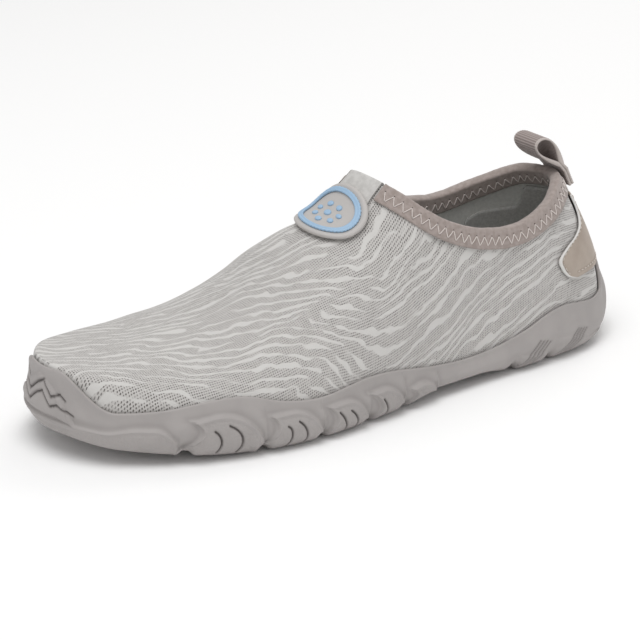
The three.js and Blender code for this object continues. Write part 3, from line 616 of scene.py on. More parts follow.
# the side wall's depth at a share of its height, without any relief
def wallOffset(turn, up):
    share = shareAt(turn)
    blend = smooth((up - 0.5) / 0.5)
    heelEnd, toeStart = sole["heelRoundEnd"], sole["toeRoundStart"]
    atHeel = 1 + sole["heelRound"] * (1 - share / heelEnd)
    atToe = 1 + sole["toeRound"] * smooth((share - toeStart) / (1 - toeStart))
    roundness = np.where(share < heelEnd, atHeel, atToe)
    out = faceOut(up)
    flare = np.where(out < 0, out * wall["edgeInset"] * roundness, out * wall["flare"])
    return flare * (1 - blend) + wall["lip"] * blend


def wallPoint(turn, height, offset):
    turn, height, offset = np.broadcast_arrays(*(np.asarray(v, float) for v in (turn, height, offset)))
    foot = footPoint(turn)
    low = joined(foot[..., 0], foot[..., 1], height) + planNormal(turn) * offset[..., None]
    high = offsetPoint(turn, sweepAtHeight(turn, height), offset)
    return np.where((height <= featherHeight(shareAt(turn)))[..., None], low, high)


# distance from every (x, z) to a broken line
def lineDistance(x, z, points):
    best = np.full(np.shape(x), 1e3)
    for (ax, az), (bx, bz) in zip(points[:-1], points[1:]):
        dx, dz = bx - ax, bz - az
        t = np.clip(((x - ax) * dx + (z - az) * dz) / (dx * dx + dz * dz), 0, 1)
        best = np.minimum(best, np.hypot(x - ax - t * dx, z - az - t * dz))
    return best


# a smooth bow through three points
def bowed(points):
    start, middle, end = np.array(points)
    t = np.linspace(0, 1, 9)[:, None]
    pull = 2 * middle - (start + end) / 2
    return (start * (1 - t) ** 2 + pull * 2 * t * (1 - t) + end * t ** 2).tolist()


# how far inside a lug's outline a place is, in mm, below 0 outside it
def insideLug(x, z, lug):
    (footX, footZ), (tipX, tipZ) = lug["foot"], lug["tip"]
    (crestX, crestZ), (backX, backZ) = lug["crest"], lug["back"]
    climb = np.clip((z - footZ) / (tipZ - footZ), -0.3, 1)
    hollow = np.sin(np.clip(climb, 0, 1) * math.pi) ** lugShape["hollowPower"] * (climb > 0)
    toFront = footX + (tipX - footX) * climb - lugShape["hollow"] * hollow - x
    way = np.clip((tipX - x) / (tipX - crestX), 0, 1)
    flat = tipZ + (crestZ - tipZ) * smooth(way)
    drop = np.clip((crestX - x) / (crestX - backX), 0, 1)
    falling = backZ + (crestZ - backZ) * (1 - drop ** lugShape["fallPower"]) ** lugShape["fallRound"]
    top = np.where(x > crestX, flat, falling)
    slope = np.where(x > crestX, 0, (crestZ - backZ) / (crestX - backX) * lugShape["slope"] * drop)
    toTop = (top - z) / np.sqrt(1 + slope ** 2)
    toTop = np.where(x < backX, x - backX, toTop)
    return np.minimum(toFront * lugShape["front"], toTop)


def raised(inside, rise, rim):
    bank = smooth((inside + sole["bankOut"]) / sole["bankWide"])
    return bank * rise + rim * np.exp(-((inside - sole["rimIn"]) / sole["rimWide"]) ** 2) * bank


def pebbled(inside):
    return smooth((inside - sole["pebbleIn"]) / sole["pebbleFade"])


# The side lugs and the toe lug give their rise, their pebble and the hollow round them
def sideLugRelief(x, up, height):
    rise, pebble, hollow = np.zeros((3, *x.shape))
    for lug in lugs:
        inside = insideLug(x, height, lug)
        near = np.exp(-(np.minimum(inside, 0) / sole["scoopReach"]) ** 2) * smooth(-inside / sole["scoopFade"])
        rise = np.maximum(rise, raised(inside, sole["lugRise"], sole["rimRise"]))
        pebble = np.maximum(pebble, pebbled(inside))
        hollow = np.maximum(hollow, near * smooth((sole["scoopTop"] - up) / 0.2))
    return rise, pebble, hollow


def toeLugRelief(about, up):
    toTop = (np.where(about > toeLug["from"], toeLugTop(about), -1) - up) * wall["height"] * toeLug["span"]
    inside = np.minimum(toTop, (about - toeLug["end"]) * toeLug["endSlope"])
    near = np.exp(-((inside + toeLug["scoopAway"]) / toeLug["scoopAway"]) ** 2)
    hollow = near * (about > toeLug["scoopFrom"]) * toeLug["scoop"]
    return raised(inside, toeLug["rise"], toeLug["rim"]), pebbled(inside), hollow


def toePanelRelief(about, up):
    across = np.clip((1 - about) / (1 - toePanel["end"]), 0, 1)
    low = toePanel["low"] - toePanel["lowDrop"] * across ** 2
    high = low + toePanel["tall"] * (1 - across ** 1.6) + toePanel["least"]
    inside = np.minimum(high - up, up - low) * toePanel["wallHeight"]
    inside = np.minimum(inside, (about - toePanel["end"]) * toePanel["endSlope"])
    bank = smooth((inside + toePanel["bankOut"]) / toePanel["bankWide"])
    rim = np.exp(-((inside - toePanel["rimIn"]) / toePanel["rimWide"]) ** 2)
    return bank * toePanel["rise"] + toePanel["rim"] * rim


def heelLugRelief(share, up):
    body = np.zeros(share.shape)
    for start, end in heelLugs["ends"]:
        way = (start - share) / (start - end)
        top = smooth((heelLugs["top"] - up - heelLugs["topFall"] * way) / heelLugs["topFade"])
        body = np.maximum(body, smooth(np.minimum(way, 1 - way) * heelLugs["endFade"]) * top)
    return body * heelLugs["rise"], body * heelLugs["pebble"]


def zigzagCuts(turn, height):
    about = np.abs(turn)
    across = np.sign(turn) * footArc(1 - about)
    folded = np.abs(across + toePanel["zigzagMiddle"]) - toePanel["zigzagMiddle"]
    cuts = np.zeros(about.shape)
    for points in toePanel["zigzags"]:
        for start, end in zip(points[:-1], points[1:]):
            strong, wide = (1.0, 0.5) if end[1] > start[1] else (0.75, 0.4)
            away = lineDistance(folded, height, (start, end))
            cut = toePanel["zigzagDepth"] * strong * np.exp(-(away / wide) ** 2)
            cuts = np.maximum(cuts, np.where(about > toePanel["zigzagFrom"], cut, 0))
    return cuts


def soleRelief(turn, up, height):
    share = shareAt(turn)
    x = share * last["length"]
    about = np.abs(turn)
    rise, pebble, hollow = sideLugRelief(x, up, height)
    toeRise, toePebble, toeHollow = toeLugRelief(about, up)
    heelRise, heelPebble = heelLugRelief(share, up)
    for other in (toeRise, toePanelRelief(about, up), heelRise):
        rise = np.maximum(rise, other)
    pebble = np.maximum(np.maximum(pebble, toePebble), heelPebble)
    hollow = np.maximum(hollow, toeHollow)
    cuts = zigzagCuts(turn, height)
    for group, depth in ((sipes, sole["sipeDepth"]), (heelCuts, sole["heelCutDepth"])):
        for points in group:
            away = lineDistance(x, height, bowed(points))
            cuts = np.maximum(cuts, depth * np.exp(-(away / sole["sipeWidth"]) ** 2))
    return rise - cuts - hollow * sole["scoop"], pebble, cuts


footArcTurns = 1 - np.linspace(0, 0.3, 200)
footArcLengths = lengthAlong(footPoint(footArcTurns))


# length along the outline from the toe's middle, for the front of the shoe
def footArc(behindToe):
    return np.interp(behindToe, 1 - footArcTurns, footArcLengths)


# turns from the heel to the toe, spaced by length along the outline and closer where there is more to show
def evenTurns(count, closer=np.ones_like):
    fine = np.linspace(0, 1, 6000)
    steps = np.linalg.norm(np.diff((footPoint(fine) + footPoint(-fine) * [1, -1, 1]) / 2, axis=0), axis=1)
    middle = (fine[1:] + fine[:-1]) / 2
    total = np.concatenate([[0], np.cumsum(steps * closer(middle))])
    return np.interp(np.linspace(0, total[-1], count + 1), total, fine)


def soleCloser(turn):
    share = shareAt(turn)
    atLugs = smooth((share - 0.38) / 0.03) * smooth((0.89 - share) / 0.02)
    return 1 + 0.9 * atLugs + 0.7 * smooth((turn - 0.88) / 0.03)


def rubberMaterial():
    material, tree, shader = newMaterial("rubber", "#A49E9B", 0.62, specular=0.4)
    place = placeOf(tree)
    pebble = fieldOf(tree, "pebble")
    mottled = ramp(tree, noise(tree, place, 90, 3), 0.35, 0.65, 0.97, 1.03)
    # painted shade: the field deep blends the rubber towards the second, darker colour in the cuts and hollows
    base = blendColours(tree, fieldOf(tree, "deep"), *(fromHex(colour) for colour in sole["colours"]))
    inputs = {0: 1.0, 6: base, 7: mottled}
    tinted = addNode(tree, "ShaderNodeMix", inputs, data_type="RGBA", blend_type="MULTIPLY")
    paint(tree, shader, tinted.outputs[2])
    grainy = maths(tree, "MULTIPLY", cells(tree, place, 900), maths(tree, "MULTIPLY_ADD", pebble, 0.9, 0.1))
    skin = addBump(tree, shader, grainy, 0.00035, 0.6)
    addBump(tree, shader, noise(tree, place, 2600, 2), 0.00006, 0.5, onto=skin)
    tree.links.new(ramp(tree, pebble, 0, 1, 0.56, 0.68), shader.inputs["Roughness"])
    return material


# the ground face: shallow rows across it between the cut channels
def groundTread(middle, near):
    x = middle[..., 0]
    rows = np.sin(2 * math.pi * (x / sole["treadApart"] + sole["treadSlant"] * np.abs(middle[..., 1])))
    return near[:, None, 2] + 0 * x + sole["treadRise"] * smooth(rows * 2 - 0.4)


def makeSole():
    side = evenTurns(sole["columns"], soleCloser)
    turns = np.concatenate([side, -side[-2:0:-1]])[:, None]
    around = wrap(turns)
    bottom = groundHeight(shareAt(around))
    top = soleTop(around)
    radius = sole["lipRound"]
    bodyUp = np.linspace(0, 1, sole["rows"] + 1)[None, :]
    height = bottom + (top - radius - bottom) * bodyUp
    up = (height - bottom) / (top - bottom)
    relief, pebble, cuts = soleRelief(around + 0 * up, up, height)
    fading = smooth(up / 0.03) * 0.6 + 0.4
    underLip = smooth((1 - up) / 0.05 + 0.2)
    outer = wallPoint(around, height, wallOffset(around, up) + relief * fading * underLip)
    angle = np.linspace(0, math.pi, sole["lipRows"] + 2)[None, 1:-1]
    lipOffset = wall["lip"] - radius + radius * np.cos(angle)
    lip = wallPoint(around, top - radius + radius * np.sin(angle), lipOffset)
    down = np.linspace(1, 0, sole["innerRows"])[None, :]
    innerSweeps = sweepAtHeight(around, top - radius) * down
    inner = offsetPoint(around + 0 * down, innerSweeps, wall["clearance"] + 0 * innerSweeps)
    floor = inner[:, -1:, :].copy()
    floor[..., 2] = featherHeight(shareAt(around)) - wall["clearance"]
    points = np.concatenate([outer, lip, inner, floor], axis=1)
    count, rows = points.shape[:2]
    plain = np.zeros((count, rows - relief.shape[1]))
    # painted shade: darker where the relief sinks, in the cuts and the hollows round the lugs
    deep = np.maximum(smooth(-relief / 0.8) * 0.5, smooth(cuts / 0.9))
    allCutShade = [np.concatenate([deep, plain], axis=1).ravel()]
    allPebble = [np.concatenate([pebble, plain], axis=1).ravel()]
    ids = numbered(count, rows)
    faces = [gridQuads(closed(ids))]
    allPoints = [points.reshape(-1, 3)]
    half = sole["columns"]
    mirror = (count - np.arange(half + 1)) % count
    for row, across, flip in ((0, sole["acrossRows"], True), (rows - 1, sole["floorRows"], False)):
        near, far = points[:half + 1, row], points[mirror, row]
        share = np.linspace(0, 1, across + 1)[1:-1][None, :, None]
        middle = near[:, None, :] * (1 - share) + far[:, None, :] * share
        if row == 0:
            middle[..., 2] = groundTread(middle, near)
        inside = numbered(*middle.shape[:2], start=sum(len(p) for p in allPoints))
        allPoints.append(middle.reshape(-1, 3))
        allCutShade.append(np.zeros(inside.size))
        allPebble.append(np.full(inside.size, 0.5))
        acrossIds = np.concatenate([ids[:half + 1, row, None], inside, ids[mirror, row, None]], axis=1)
        faces.append(gridQuads(acrossIds, flip))
    fields = {"deep": np.concatenate(allCutShade), "pebble": np.concatenate(allPebble)}
    allFaces = cleanFaces(np.concatenate(faces))
    piece = makeMesh("soleRubber", np.concatenate(allPoints), allFaces, [rubberMaterial()], fields=fields)
    own(piece, "sole_rubber", "sole")


makeSole()
print("the sole is made")


# the knitted upper

knit = {
    "columns": 560, "rows": 68, "innerRows": 4, "thickness": 1.0, "crowding": 1.15,
    "holePitch": 0.95, "threadApart": 0.55, "roundPower": 1.534,
    "restAt": (40, 150, 266), "restHeight": (86, 58, 36),
    "slantFrom": 160, "slant": 0.3, "slantEase": 80, "slantBack": 0.0004,
    "bandApart": 4.6, "levelFrom": 110, "levelEase": 60, "levelling": 0.42,
    "sway": ((46, 20, 14, 3.0), (16, 9, 8, 8.0), (5, 5, 2.2, 12.0)),  # length, width, strength, start
    "gaps": (24, 5, 21.0), "gapStrength": 2.8,
    "calmAhead": 16, "calmReach": 22, "calmFade": 4, "calmBack": 40,
    # hole is a painted shade: the dark colour in each mesh hole of the knit
    "colours": ("#C4C1BE", "#D0CECB"), "mottle": "#CCC9C7", "hole": "#5E5A57",
}

# Soft creases of the empty shoe: (x, z) to (x, z), wide and deep in mm; side 1 is the outer
creases = (
    {"from": (100, 67), "to": (116, 46), "side": 1, "wide": 6, "deep": 0.7},
    {"from": (122, 66), "to": (131, 44), "side": 1, "wide": 7, "deep": 0.5},
    {"from": (62, 50), "to": (84, 33), "side": 1, "wide": 7, "deep": 0.5},
    {"from": (150, 60), "to": (168, 38), "side": 1, "wide": 9, "deep": 0.5},
    {"from": (104, 66), "to": (122, 44), "side": -1, "wide": 7, "deep": 0.7},
    {"from": (60, 50), "to": (86, 34), "side": -1, "wide": 8, "deep": 0.6},
    {"from": (172, 50), "to": (196, 34), "side": -1, "wide": 8, "deep": 0.5},
)


creaseSwell = {"share": 0.6, "away": 1.7}  # the cloth swells a little beside each crease


def creaseDepth(points, turn):
    depth = np.zeros(points.shape[:-1])
    for crease in creases:
        away = lineDistance(points[..., 0], points[..., 2], (crease["from"], crease["to"])) / crease["wide"]
        deep = smooth(crease["side"] * turn / 0.05) * crease["deep"]
        depth += deep * np.exp(-away ** 2)
        depth -= deep * creaseSwell["share"] * np.exp(-(away - creaseSwell["away"]) ** 2)
    return depth


ridgeWay = ridgePoint(np.linspace(0.0, 1, 400))
ridgeWayLength = lengthAlong(ridgeWay)


# Cloth coordinates in mm: along the foot, and round it from the ridge, slanting up towards the heel at the back
def clothPlace(points):
    x = points[..., 0]
    ridgeY = np.interp(x, ridgeWay[:, 0], ridgeWay[:, 1])
    trueZ = np.interp(x, ridgeWay[:, 0], ridgeWay[:, 2])
    ridgeZ = np.minimum(trueZ, np.interp(x, knit["restAt"], knit["restHeight"]))
    along = np.interp(x, ridgeWay[:, 0], ridgeWayLength)
    along = np.where(x < ridgeWay[0, 0], x - ridgeWay[0, 0], along)
    along = np.where(x > ridgeWay[-1, 0], ridgeWayLength[-1] + x - ridgeWay[-1, 0], along)
    side = points[..., 1] - ridgeY
    down = np.maximum(ridgeZ - points[..., 2], 0)
    power = knit["roundPower"]
    around = (np.abs(side) ** power + down ** power) ** (1 / power)
    behind = np.maximum(0, knit["slantFrom"] - x)
    slant = knit["slant"] * behind * np.minimum(1, behind / knit["slantEase"]) - knit["slantBack"] * behind ** 2
    return np.stack([0.5 * (along + x), np.sign(side) * (around + slant)], axis=-1)


# noise drawn out along the cloth
def drawnNoise(tree, u, v, long, apart, start):
    place = addNode(tree, "ShaderNodeCombineXYZ", {
        "X": maths(tree, "DIVIDE", u, long), "Y": maths(tree, "DIVIDE", v, apart), "Z": start,
    }).outputs["Vector"]
    return noise(tree, place, 1.0, 1.0, 0.4)


# Bands a few millimetres apart that waver, part and meet; in front they lie nearer to level
def barkBands(tree, u, v):
    ahead = maths(tree, "MAXIMUM", maths(tree, "SUBTRACT", u, knit["levelFrom"]), 0.0)
    easing = maths(tree, "MINIMUM", maths(tree, "DIVIDE", ahead, knit["levelEase"]), 1.0)
    level = maths(tree, "MULTIPLY_ADD", maths(tree, "MULTIPLY", ahead, easing), knit["levelling"], v)
    for long, apart, strength, start in knit["sway"]:
        level = maths(tree, "MULTIPLY_ADD", drawnNoise(tree, u, v, long, apart, start), strength, level)
    gaps = drawnNoise(tree, u, v, *knit["gaps"])
    wave = waves(tree, level, knit["bandApart"])
    return ramp(tree, maths(tree, "MULTIPLY_ADD", gaps, knit["gapStrength"], wave), 1.75, 2.25)


# Turns once round the shoe from the heel, with one of them exactly at the throat on each side
def turnsRound(count):
    side = evenTurns(count)
    side[np.argmin(np.abs(side - throatTurn))] = throatTurn
    return np.concatenate([side, -side[-2:0:-1]])


def knitMaterial():
    material, tree, shader = newMaterial("knit", "#C9C7C4", 0.9, specular=0.25, sheen=0.25)
    shader.inputs["Sheen Roughness"].default_value = 0.5
    cloth = clothOf(tree)
    u, v = clothAxes(tree)
    band = barkBands(tree, u, v)
    pitch = 2 * math.pi / knit["holePitch"]
    jitter = maths(tree, "MULTIPLY_ADD", noise(tree, cloth, 0.9, 1), 2.4, -1.2)
    first, second = (
        maths(tree, "SINE", maths(tree, "MULTIPLY_ADD", maths(tree, sign, u, v), pitch / 2, jitter))
        for sign in ("ADD", "SUBTRACT")
    )
    # each mesh hole is painted dark as the shade inside it, and sunk by the bump
    shadedHoles = ramp(tree, maths(tree, "MULTIPLY", first, second), 0.2, 0.6)
    uneven = ramp(tree, noise(tree, cloth, 0.35, 2), 0.3, 0.6, 0.5, 1.0)
    offBand = maths(tree, "SUBTRACT", 1.0, band)
    shadedHoles = maths(tree, "MULTIPLY", maths(tree, "MULTIPLY", shadedHoles, uneven), offBand)
    ground = blendColours(tree, band, *(fromHex(colour) for colour in knit["colours"]))
    mottle = ramp(tree, noise(tree, cloth, 0.16, 3), 0.3, 0.7, 0.0, 0.25)
    ground = blendColours(tree, mottle, ground, fromHex(knit["mottle"]))
    paint(tree, shader, blendColours(tree, maths(tree, "MULTIPLY", shadedHoles, 0.95), ground, fromHex(knit["hole"])))
    height = maths(tree, "MULTIPLY_ADD", shadedHoles, -0.6, maths(tree, "MULTIPLY", band, 0.5))
    height = maths(tree, "MULTIPLY_ADD", waves(tree, v, knit["threadApart"]), 0.07, height)
    height = maths(tree, "MULTIPLY_ADD", noise(tree, cloth, 2.4, 3), 0.3, height)
    addBump(tree, shader, height, 0.0003, 0.8)
    return material


# Where the creases may show: clear of the sole, the collar, the badge and the heel patch
def creaseShare(points, turn, way):
    clearOfSole = smooth((points[..., 2] - soleTop(wrap(turn)) - 0.5) / 2.5)
    clearOfCollar = np.where(np.abs(turn) < throatTurn, smooth((1 - way) * 14 - 0.9), 1)
    toBadge = np.hypot(points[..., 0] - last["throatAt"] - knit["calmAhead"], points[..., 1])
    clearOfBadge = smooth((toBadge - knit["calmReach"]) / knit["calmFade"])
    return clearOfSole * clearOfCollar * clearOfBadge * smooth((points[..., 0] - knit["calmBack"]) / 6)


def makeKnit():
    turns = turnsRound(knit["columns"])
    rows = knit["rows"]
    way = np.linspace(0, 1, rows + 1)[None, :]
    sweeps = topSweep(turns)[:, None] * (1 - (1 - way) ** knit["crowding"])
    around = turns[:, None] + 0 * sweeps
    plain = lastPoint(around, sweeps)
    outer = offsetPoint(around, sweeps, -creaseShare(plain, around, way) * creaseDepth(plain, around))
    innerSweeps = topSweep(turns)[:, None] * np.linspace(1, 0, knit["innerRows"] + 1)[None, :]
    inner = offsetPoint(turns[:, None] + 0 * innerSweeps, innerSweeps, 0 * innerSweeps - knit["thickness"])
    points = np.concatenate([outer, inner], axis=1)
    count = len(turns)
    ids = numbered(count, points.shape[1])
    # In front of the throat both sides meet on the ridge, and share its points
    onRidge = np.abs(turns) >= throatTurn - 1e-9
    second = np.arange(knit["columns"] + 1, count)
    for row in (rows, rows + 1):
        ids[second, row] = np.where(onRidge[second], ids[count - second, row], ids[second, row])
    ring = closed(ids)
    rimOpen = ~(onRidge & np.roll(onRidge, -1))
    faces = cleanFaces(np.concatenate([
        gridQuads(ring[:, :rows + 1]), gridQuads(ring[:, rows + 1:]),
        strip(ring[:, -1], ring[:, 0]), strip(ring[:, rows], ring[:, rows + 1])[rimOpen],
    ]))
    cloth = np.concatenate([clothPlace(plain), clothPlace(inner)], axis=1).reshape(-1, 2)
    piece = makeMesh("knitUpper", points.reshape(-1, 3), faces, [knitMaterial()], cloth=cloth)
    own(piece, "knit", "upper")


makeKnit()
print("the knit is made")


# the lining and the insole

lining = {
    "columns": 150, "rows": 20, "outer": -1.06, "inner": -2.0, "colours": ("#CFCFCB", "#DADAD6"),
}

# The second, darker lining round the heel: its top edge as heights over the turn
heelLining = {
    "columns": 120, "rows": 24, "outer": -2.1, "inner": -2.75, "low": 11, "end": 0.268,
    "way": (0, 0.124, 0.140, 0.148, 0.161, 0.197, 0.238, 0.263, 0.268),
    "top": (63.8, 63.7, 61.4, 56, 52.8, 52.1, 51.6, 48.5, 44.5),
    "colours": ("#ADACA9", "#BDBCB9"),
}

insole = {"columns": 170, "across": 24, "inset": 2.65, "thickness": 3.0, "edgeDrop": 0.8, "edgeWide": 2.2}


# a skin and the skin behind it, joined along their edges
def doubleSkin(skin, behind):
    points = np.concatenate([skin, behind[:, ::-1]], axis=1)
    return points.reshape(-1, 3), closed(numbered(*points.shape[:2]), axis=1)


def makeLining():
    turns = turnsRound(lining["columns"])
    sweeps = topSweep(turns)[:, None] * np.linspace(0, 1, lining["rows"] + 1)[None, :]
    around = turns[:, None] + 0 * sweeps
    inner, outer = (offsetPoint(around, sweeps, lining[side] + 0 * sweeps) for side in ("inner", "outer"))
    points, ids = doubleSkin(inner, outer)
    material, tree, shader = newMaterial("lining", "#9C9C98", 0.95, specular=0.2)
    paintMottled(tree, shader, placeOf(tree), 700, 3, lining["colours"])
    addBump(tree, shader, noise(tree, placeOf(tree), 1600, 2), 0.0002, 0.6)
    piece = makeMesh("lining", points, cleanFaces(gridQuads(closed(ids), True)), [material])
    own(piece, "lining", "upper")


def makeHeelLining():
    turns = np.linspace(-1, 1, heelLining["columns"] + 1)
    turns = np.sign(turns) * heelLining["end"] * np.abs(turns) ** 1.1
    top = np.interp(np.abs(turns), heelLining["way"], heelLining["top"])[:, None]
    height = heelLining["low"] + (top - heelLining["low"]) * np.linspace(0, 1, heelLining["rows"] + 1)[None, :]
    around = turns[:, None] + 0 * height
    sweeps = sweepAtHeight(around, height)
    inner, outer = (offsetPoint(around, sweeps, heelLining[side] + 0 * height) for side in ("inner", "outer"))
    points, ids = doubleSkin(inner, outer)
    material, tree, shader = newMaterial("heelLining", "#6E6D6B", 0.95)
    paintMottled(tree, shader, placeOf(tree), 900, 3, heelLining["colours"])
    addBump(tree, shader, noise(tree, placeOf(tree), 2200, 2), 0.00025, 0.7)
    piece = makeMesh("heelLining", points, cleanFaces(gridQuads(ids, True)), [material])
    own(piece, "lining")


def makeInsole():
    side = evenTurns(insole["columns"])
    near, far = (offsetPoint(turns, 0 * side, 0 * side - insole["inset"]) for turns in (side, -side))
    across = np.linspace(0, 1, insole["across"] + 1)
    bottom = near[:, None, :] * (1 - across[None, :, None]) + far[:, None, :] * across[None, :, None]
    edge = np.minimum(across, 1 - across)[None, :] * np.linalg.norm(near - far, axis=-1)[:, None]
    top = bottom.copy()
    top[..., 2] += insole["thickness"] - insole["edgeDrop"] * (1 - smooth(edge / insole["edgeWide"]))
    ids = numbered(*top.shape[:2])
    under = ids + ids.size
    faces = [gridQuads(ids), gridQuads(under, True)]
    faces += [strip(ids[:, 0], under[:, 0]), strip(ids[:, -1], under[:, -1], True)]
    material, tree, shader = newMaterial("insole", "#8F8F8C", 0.95)
    place = placeOf(tree)
    weave = maths(tree, "ADD", noise(tree, place, 1400, 2), noise(tree, place, 300, 2))
    addBump(tree, shader, weave, 0.0002, 0.6)
    points = np.concatenate([top.reshape(-1, 3), bottom.reshape(-1, 3)])
    piece = makeMesh("insoleBoard", points, cleanFaces(np.concatenate(faces)), [material])
    own(piece, "lining", "insole")


makeLining()
makeHeelLining()
makeInsole()
print("the lining and the insole are made")


# tapes over the collar's edge

collar = {
    "wall": 2.0, "gap": 0.5, "tape": 0.9, "elastic": 0.72, "deep": 7.5, "insertDeep": 13, "insertWidth": 24,
    "steps": 10, "foldSteps": 11, "foldRound": 0.85,
    "elasticRib": 0.9, "elasticColours": ("#BDBBB8", "#CBC9C6"),
}


def insertShare():
    edges = np.linspace(0, 0.5, 501)
    points = lastPoint(*collarEdge(edges))
    return float(edges[np.argmax(np.abs(points[:, 1] - points[0, 1]) >= collar["insertWidth"] / 2)])


insertHalf = insertShare()


# A tape folded over the edge: outer leg, round top and inner leg in one skin, and the skin behind it
def foldedTape(edges, outerDeep, innerDeep, thickness):
    turn, sweep = collarEdge(edges)
    away = collarAway(edges)
    normal = surfaceFrame(turn, sweep)[2]
    base = lastPoint(turn, sweep)
    outerFace = collar["gap"] + thickness
    innerFace = -(collar["wall"] + collar["gap"] + thickness)
    middle, reach = (outerFace + innerFace) / 2, (outerFace - innerFace) / 2

    def leg(deep, offset):
        places = walkOver(turn, sweep, away, deep, collar["steps"])
        return [offsetPoint(t, s, offset + 0 * t) for t, s in places]

    def over(shrink):
        rows = []
        for angle in np.linspace(0, math.pi, collar["foldSteps"] + 2)[1:-1]:
            lift = (outerFace - shrink) * math.sin(angle) ** collar["foldRound"]
            aside = math.copysign(abs(math.cos(angle)) ** collar["foldRound"], math.cos(angle))
            rows.append(base - away * lift + normal * (middle + (reach - shrink) * aside))
        return rows

    def skinAt(shrink):
        inner = leg(innerDeep, innerFace + shrink)
        return np.stack(leg(outerDeep, outerFace - shrink)[::-1] + over(shrink) + inner, axis=1)

    return skinAt(0), skinAt(thickness)


def tapeNormals(skin):
    return unit(np.cross(np.gradient(skin, axis=0), np.gradient(skin, axis=1)))


def closedTape(name, skin, behind, material, slotName, node):
    points, ids = doubleSkin(skin, behind)
    rows = skin.shape[1]
    faces = [gridQuads(ids)]
    for station, flip in ((0, True), (-1, False)):
        faces.append(strip(ids[station, :rows], ids[station, rows:-1][::-1], flip))
    lengthways = lengthAlong(skin[:, rows // 2])
    crossways = lengthAlong(skin[len(skin) // 2])
    crossways = np.concatenate([crossways, crossways[::-1]])
    cloth = np.stack(np.broadcast_arrays(lengthways[:, None], crossways[None, :]), axis=-1).reshape(-1, 2)
    piece = makeMesh(name, points, cleanFaces(np.concatenate(faces)), [material], cloth=cloth)
    own(piece, slotName, node)


# a place on a skin at fractional stations, lifted off it
def onSkin(skin, i, j, lift):
    i = np.clip(np.asarray(i, float), 0, skin.shape[0] - 1.001)
    j = np.clip(np.asarray(j, float), 0, skin.shape[1] - 1.001)
    a, b = i.astype(int), j.astype(int)
    u, v = (i - a)[..., None], (j - b)[..., None]

    def sample(grid):
        low = grid[a, b] * (1 - v) + grid[a, b + 1] * v
        high = grid[a + 1, b] * (1 - v) + grid[a + 1, b + 1] * v
        return low * (1 - u) + high * u

    return sample(skin) + unit(sample(tapeNormals(skin))) * np.asarray(lift, float)[..., None]


# Threads as thin tubes along lists of points, all in one mesh
def threadTubes(name, paths, radius, material, slotName, sides=5):
    points, faces, start = [], [], 0
    angle = np.arange(sides) * 2 * math.pi / sides
    for path in paths:
        ahead = unit(np.gradient(path, axis=0))
        guide = np.where(np.abs(ahead[:, 2:3]) > 0.9, [[1.0, 0, 0]], [[0, 0, 1.0]])
        side = unit(np.cross(ahead, guide))
        up = np.cross(side, ahead)
        spokes = side[:, None] * np.cos(angle)[:, None] + up[:, None] * np.sin(angle)[:, None]
        points.append((path[:, None] + radius * spokes).reshape(-1, 3))
        ids = numbered(len(path), sides, start)
        faces += gridQuads(closed(ids, axis=1), True).tolist() + [ids[0][::-1].tolist(), ids[-1].tolist()]
        start += ids.size
    own(makeMesh(name, np.concatenate(points), faces, [material]), slotName)


# Needle holes: small dark beads sunk into the tape, their dark colour a painted shade for the shadow in each
# hole
def makeShadedHoles(name, spots, radius, slotName, sides=8):
    angles = np.arange(sides) * 2 * math.pi / sides
    ring = 0.9 * radius * joined(np.cos(angles), np.sin(angles), 0)
    bead = np.concatenate([ring, [[0, 0, 0.6 * radius], [0, 0, -0.6 * radius]]])
    faces = []
    for k in range(sides):
        after = (k + 1) % sides
        faces += [[k, after, sides], [after, k, sides + 1]]
    points = np.asarray(spots)[:, None, :] + bead
    allFaces = np.array(faces) + len(bead) * np.arange(len(spots))[:, None, None]
    material, tree, shader = newMaterial(name, "#4A423E", 0.95)
    own(makeMesh(name, points.reshape(-1, 3), allFaces.reshape(-1, 3).tolist(), [material]), slotName)


binding = {
    "stations": 620, "endGap": 0.012, "rib": 0.5, "colours": ("#988C86", "#A89C97"),
    "stitchFrom": 2.0, "stitchLeast": 4, "pitch": 3.8, "stitchTop": 2.2, "stitchBottom": 6.0,
    "thread": 0.21, "threadLift": 0.1, "threadBow": 0.13, "threadColour": "#D9D0CB",
    "hole": 0.34, "holeUp": 0.25, "holeLift": 0.06,
}


def bindingMaterial():
    material, tree, shader = newMaterial("binding", "#9F938E", 0.85, specular=0.3, sheen=0.3)
    cloth = clothOf(tree)
    paintMottled(tree, shader, cloth, 0.5, 3, binding["colours"])
    ribs = waves(tree, clothAxes(tree)[1], binding["rib"])
    addBump(tree, shader, maths(tree, "MULTIPLY_ADD", ribs, 0.25, noise(tree, cloth, 3.0, 2)), 0.00012, 0.6)
    return material


# A row of zigzag stitches; rowAt gives the skin's row at a depth below the edge
def makeZigzag(name, skin, length, rowAt):
    falling, climbing, shadedHoles = [], [], []
    top, bottom, pitch = binding["stitchTop"], binding["stitchBottom"], binding["pitch"]
    t = np.linspace(0.04, 0.96, 7)
    lift = binding["threadLift"] + binding["threadBow"] * np.sin(math.pi * t)
    s = binding["stitchFrom"]
    while s < length[-1] - binding["stitchLeast"]:
        legs = (falling, s, top, bottom), (climbing, s + pitch / 2, bottom, top)
        for paths, start, fromDeep, toDeep in legs:
            station = np.interp(start + pitch / 2 * t, length, np.arange(len(length)))
            paths.append(onSkin(skin, station, rowAt(fromDeep + (toDeep - fromDeep) * t), lift))
        station = np.interp([s], length, np.arange(len(length)))
        holeRow = np.array([rowAt(top - binding["holeUp"])])
        shadedHoles.append(onSkin(skin, station, holeRow, np.array([binding["holeLift"]]))[0])
        s += pitch
    pale = newMaterial(name + "Thread", binding["threadColour"], 0.6, sheen=0.3)[0]
    threadTubes(name, falling + climbing, binding["thread"], pale, "binding")
    makeShadedHoles(name + "Holes", shadedHoles, binding["hole"], "binding")


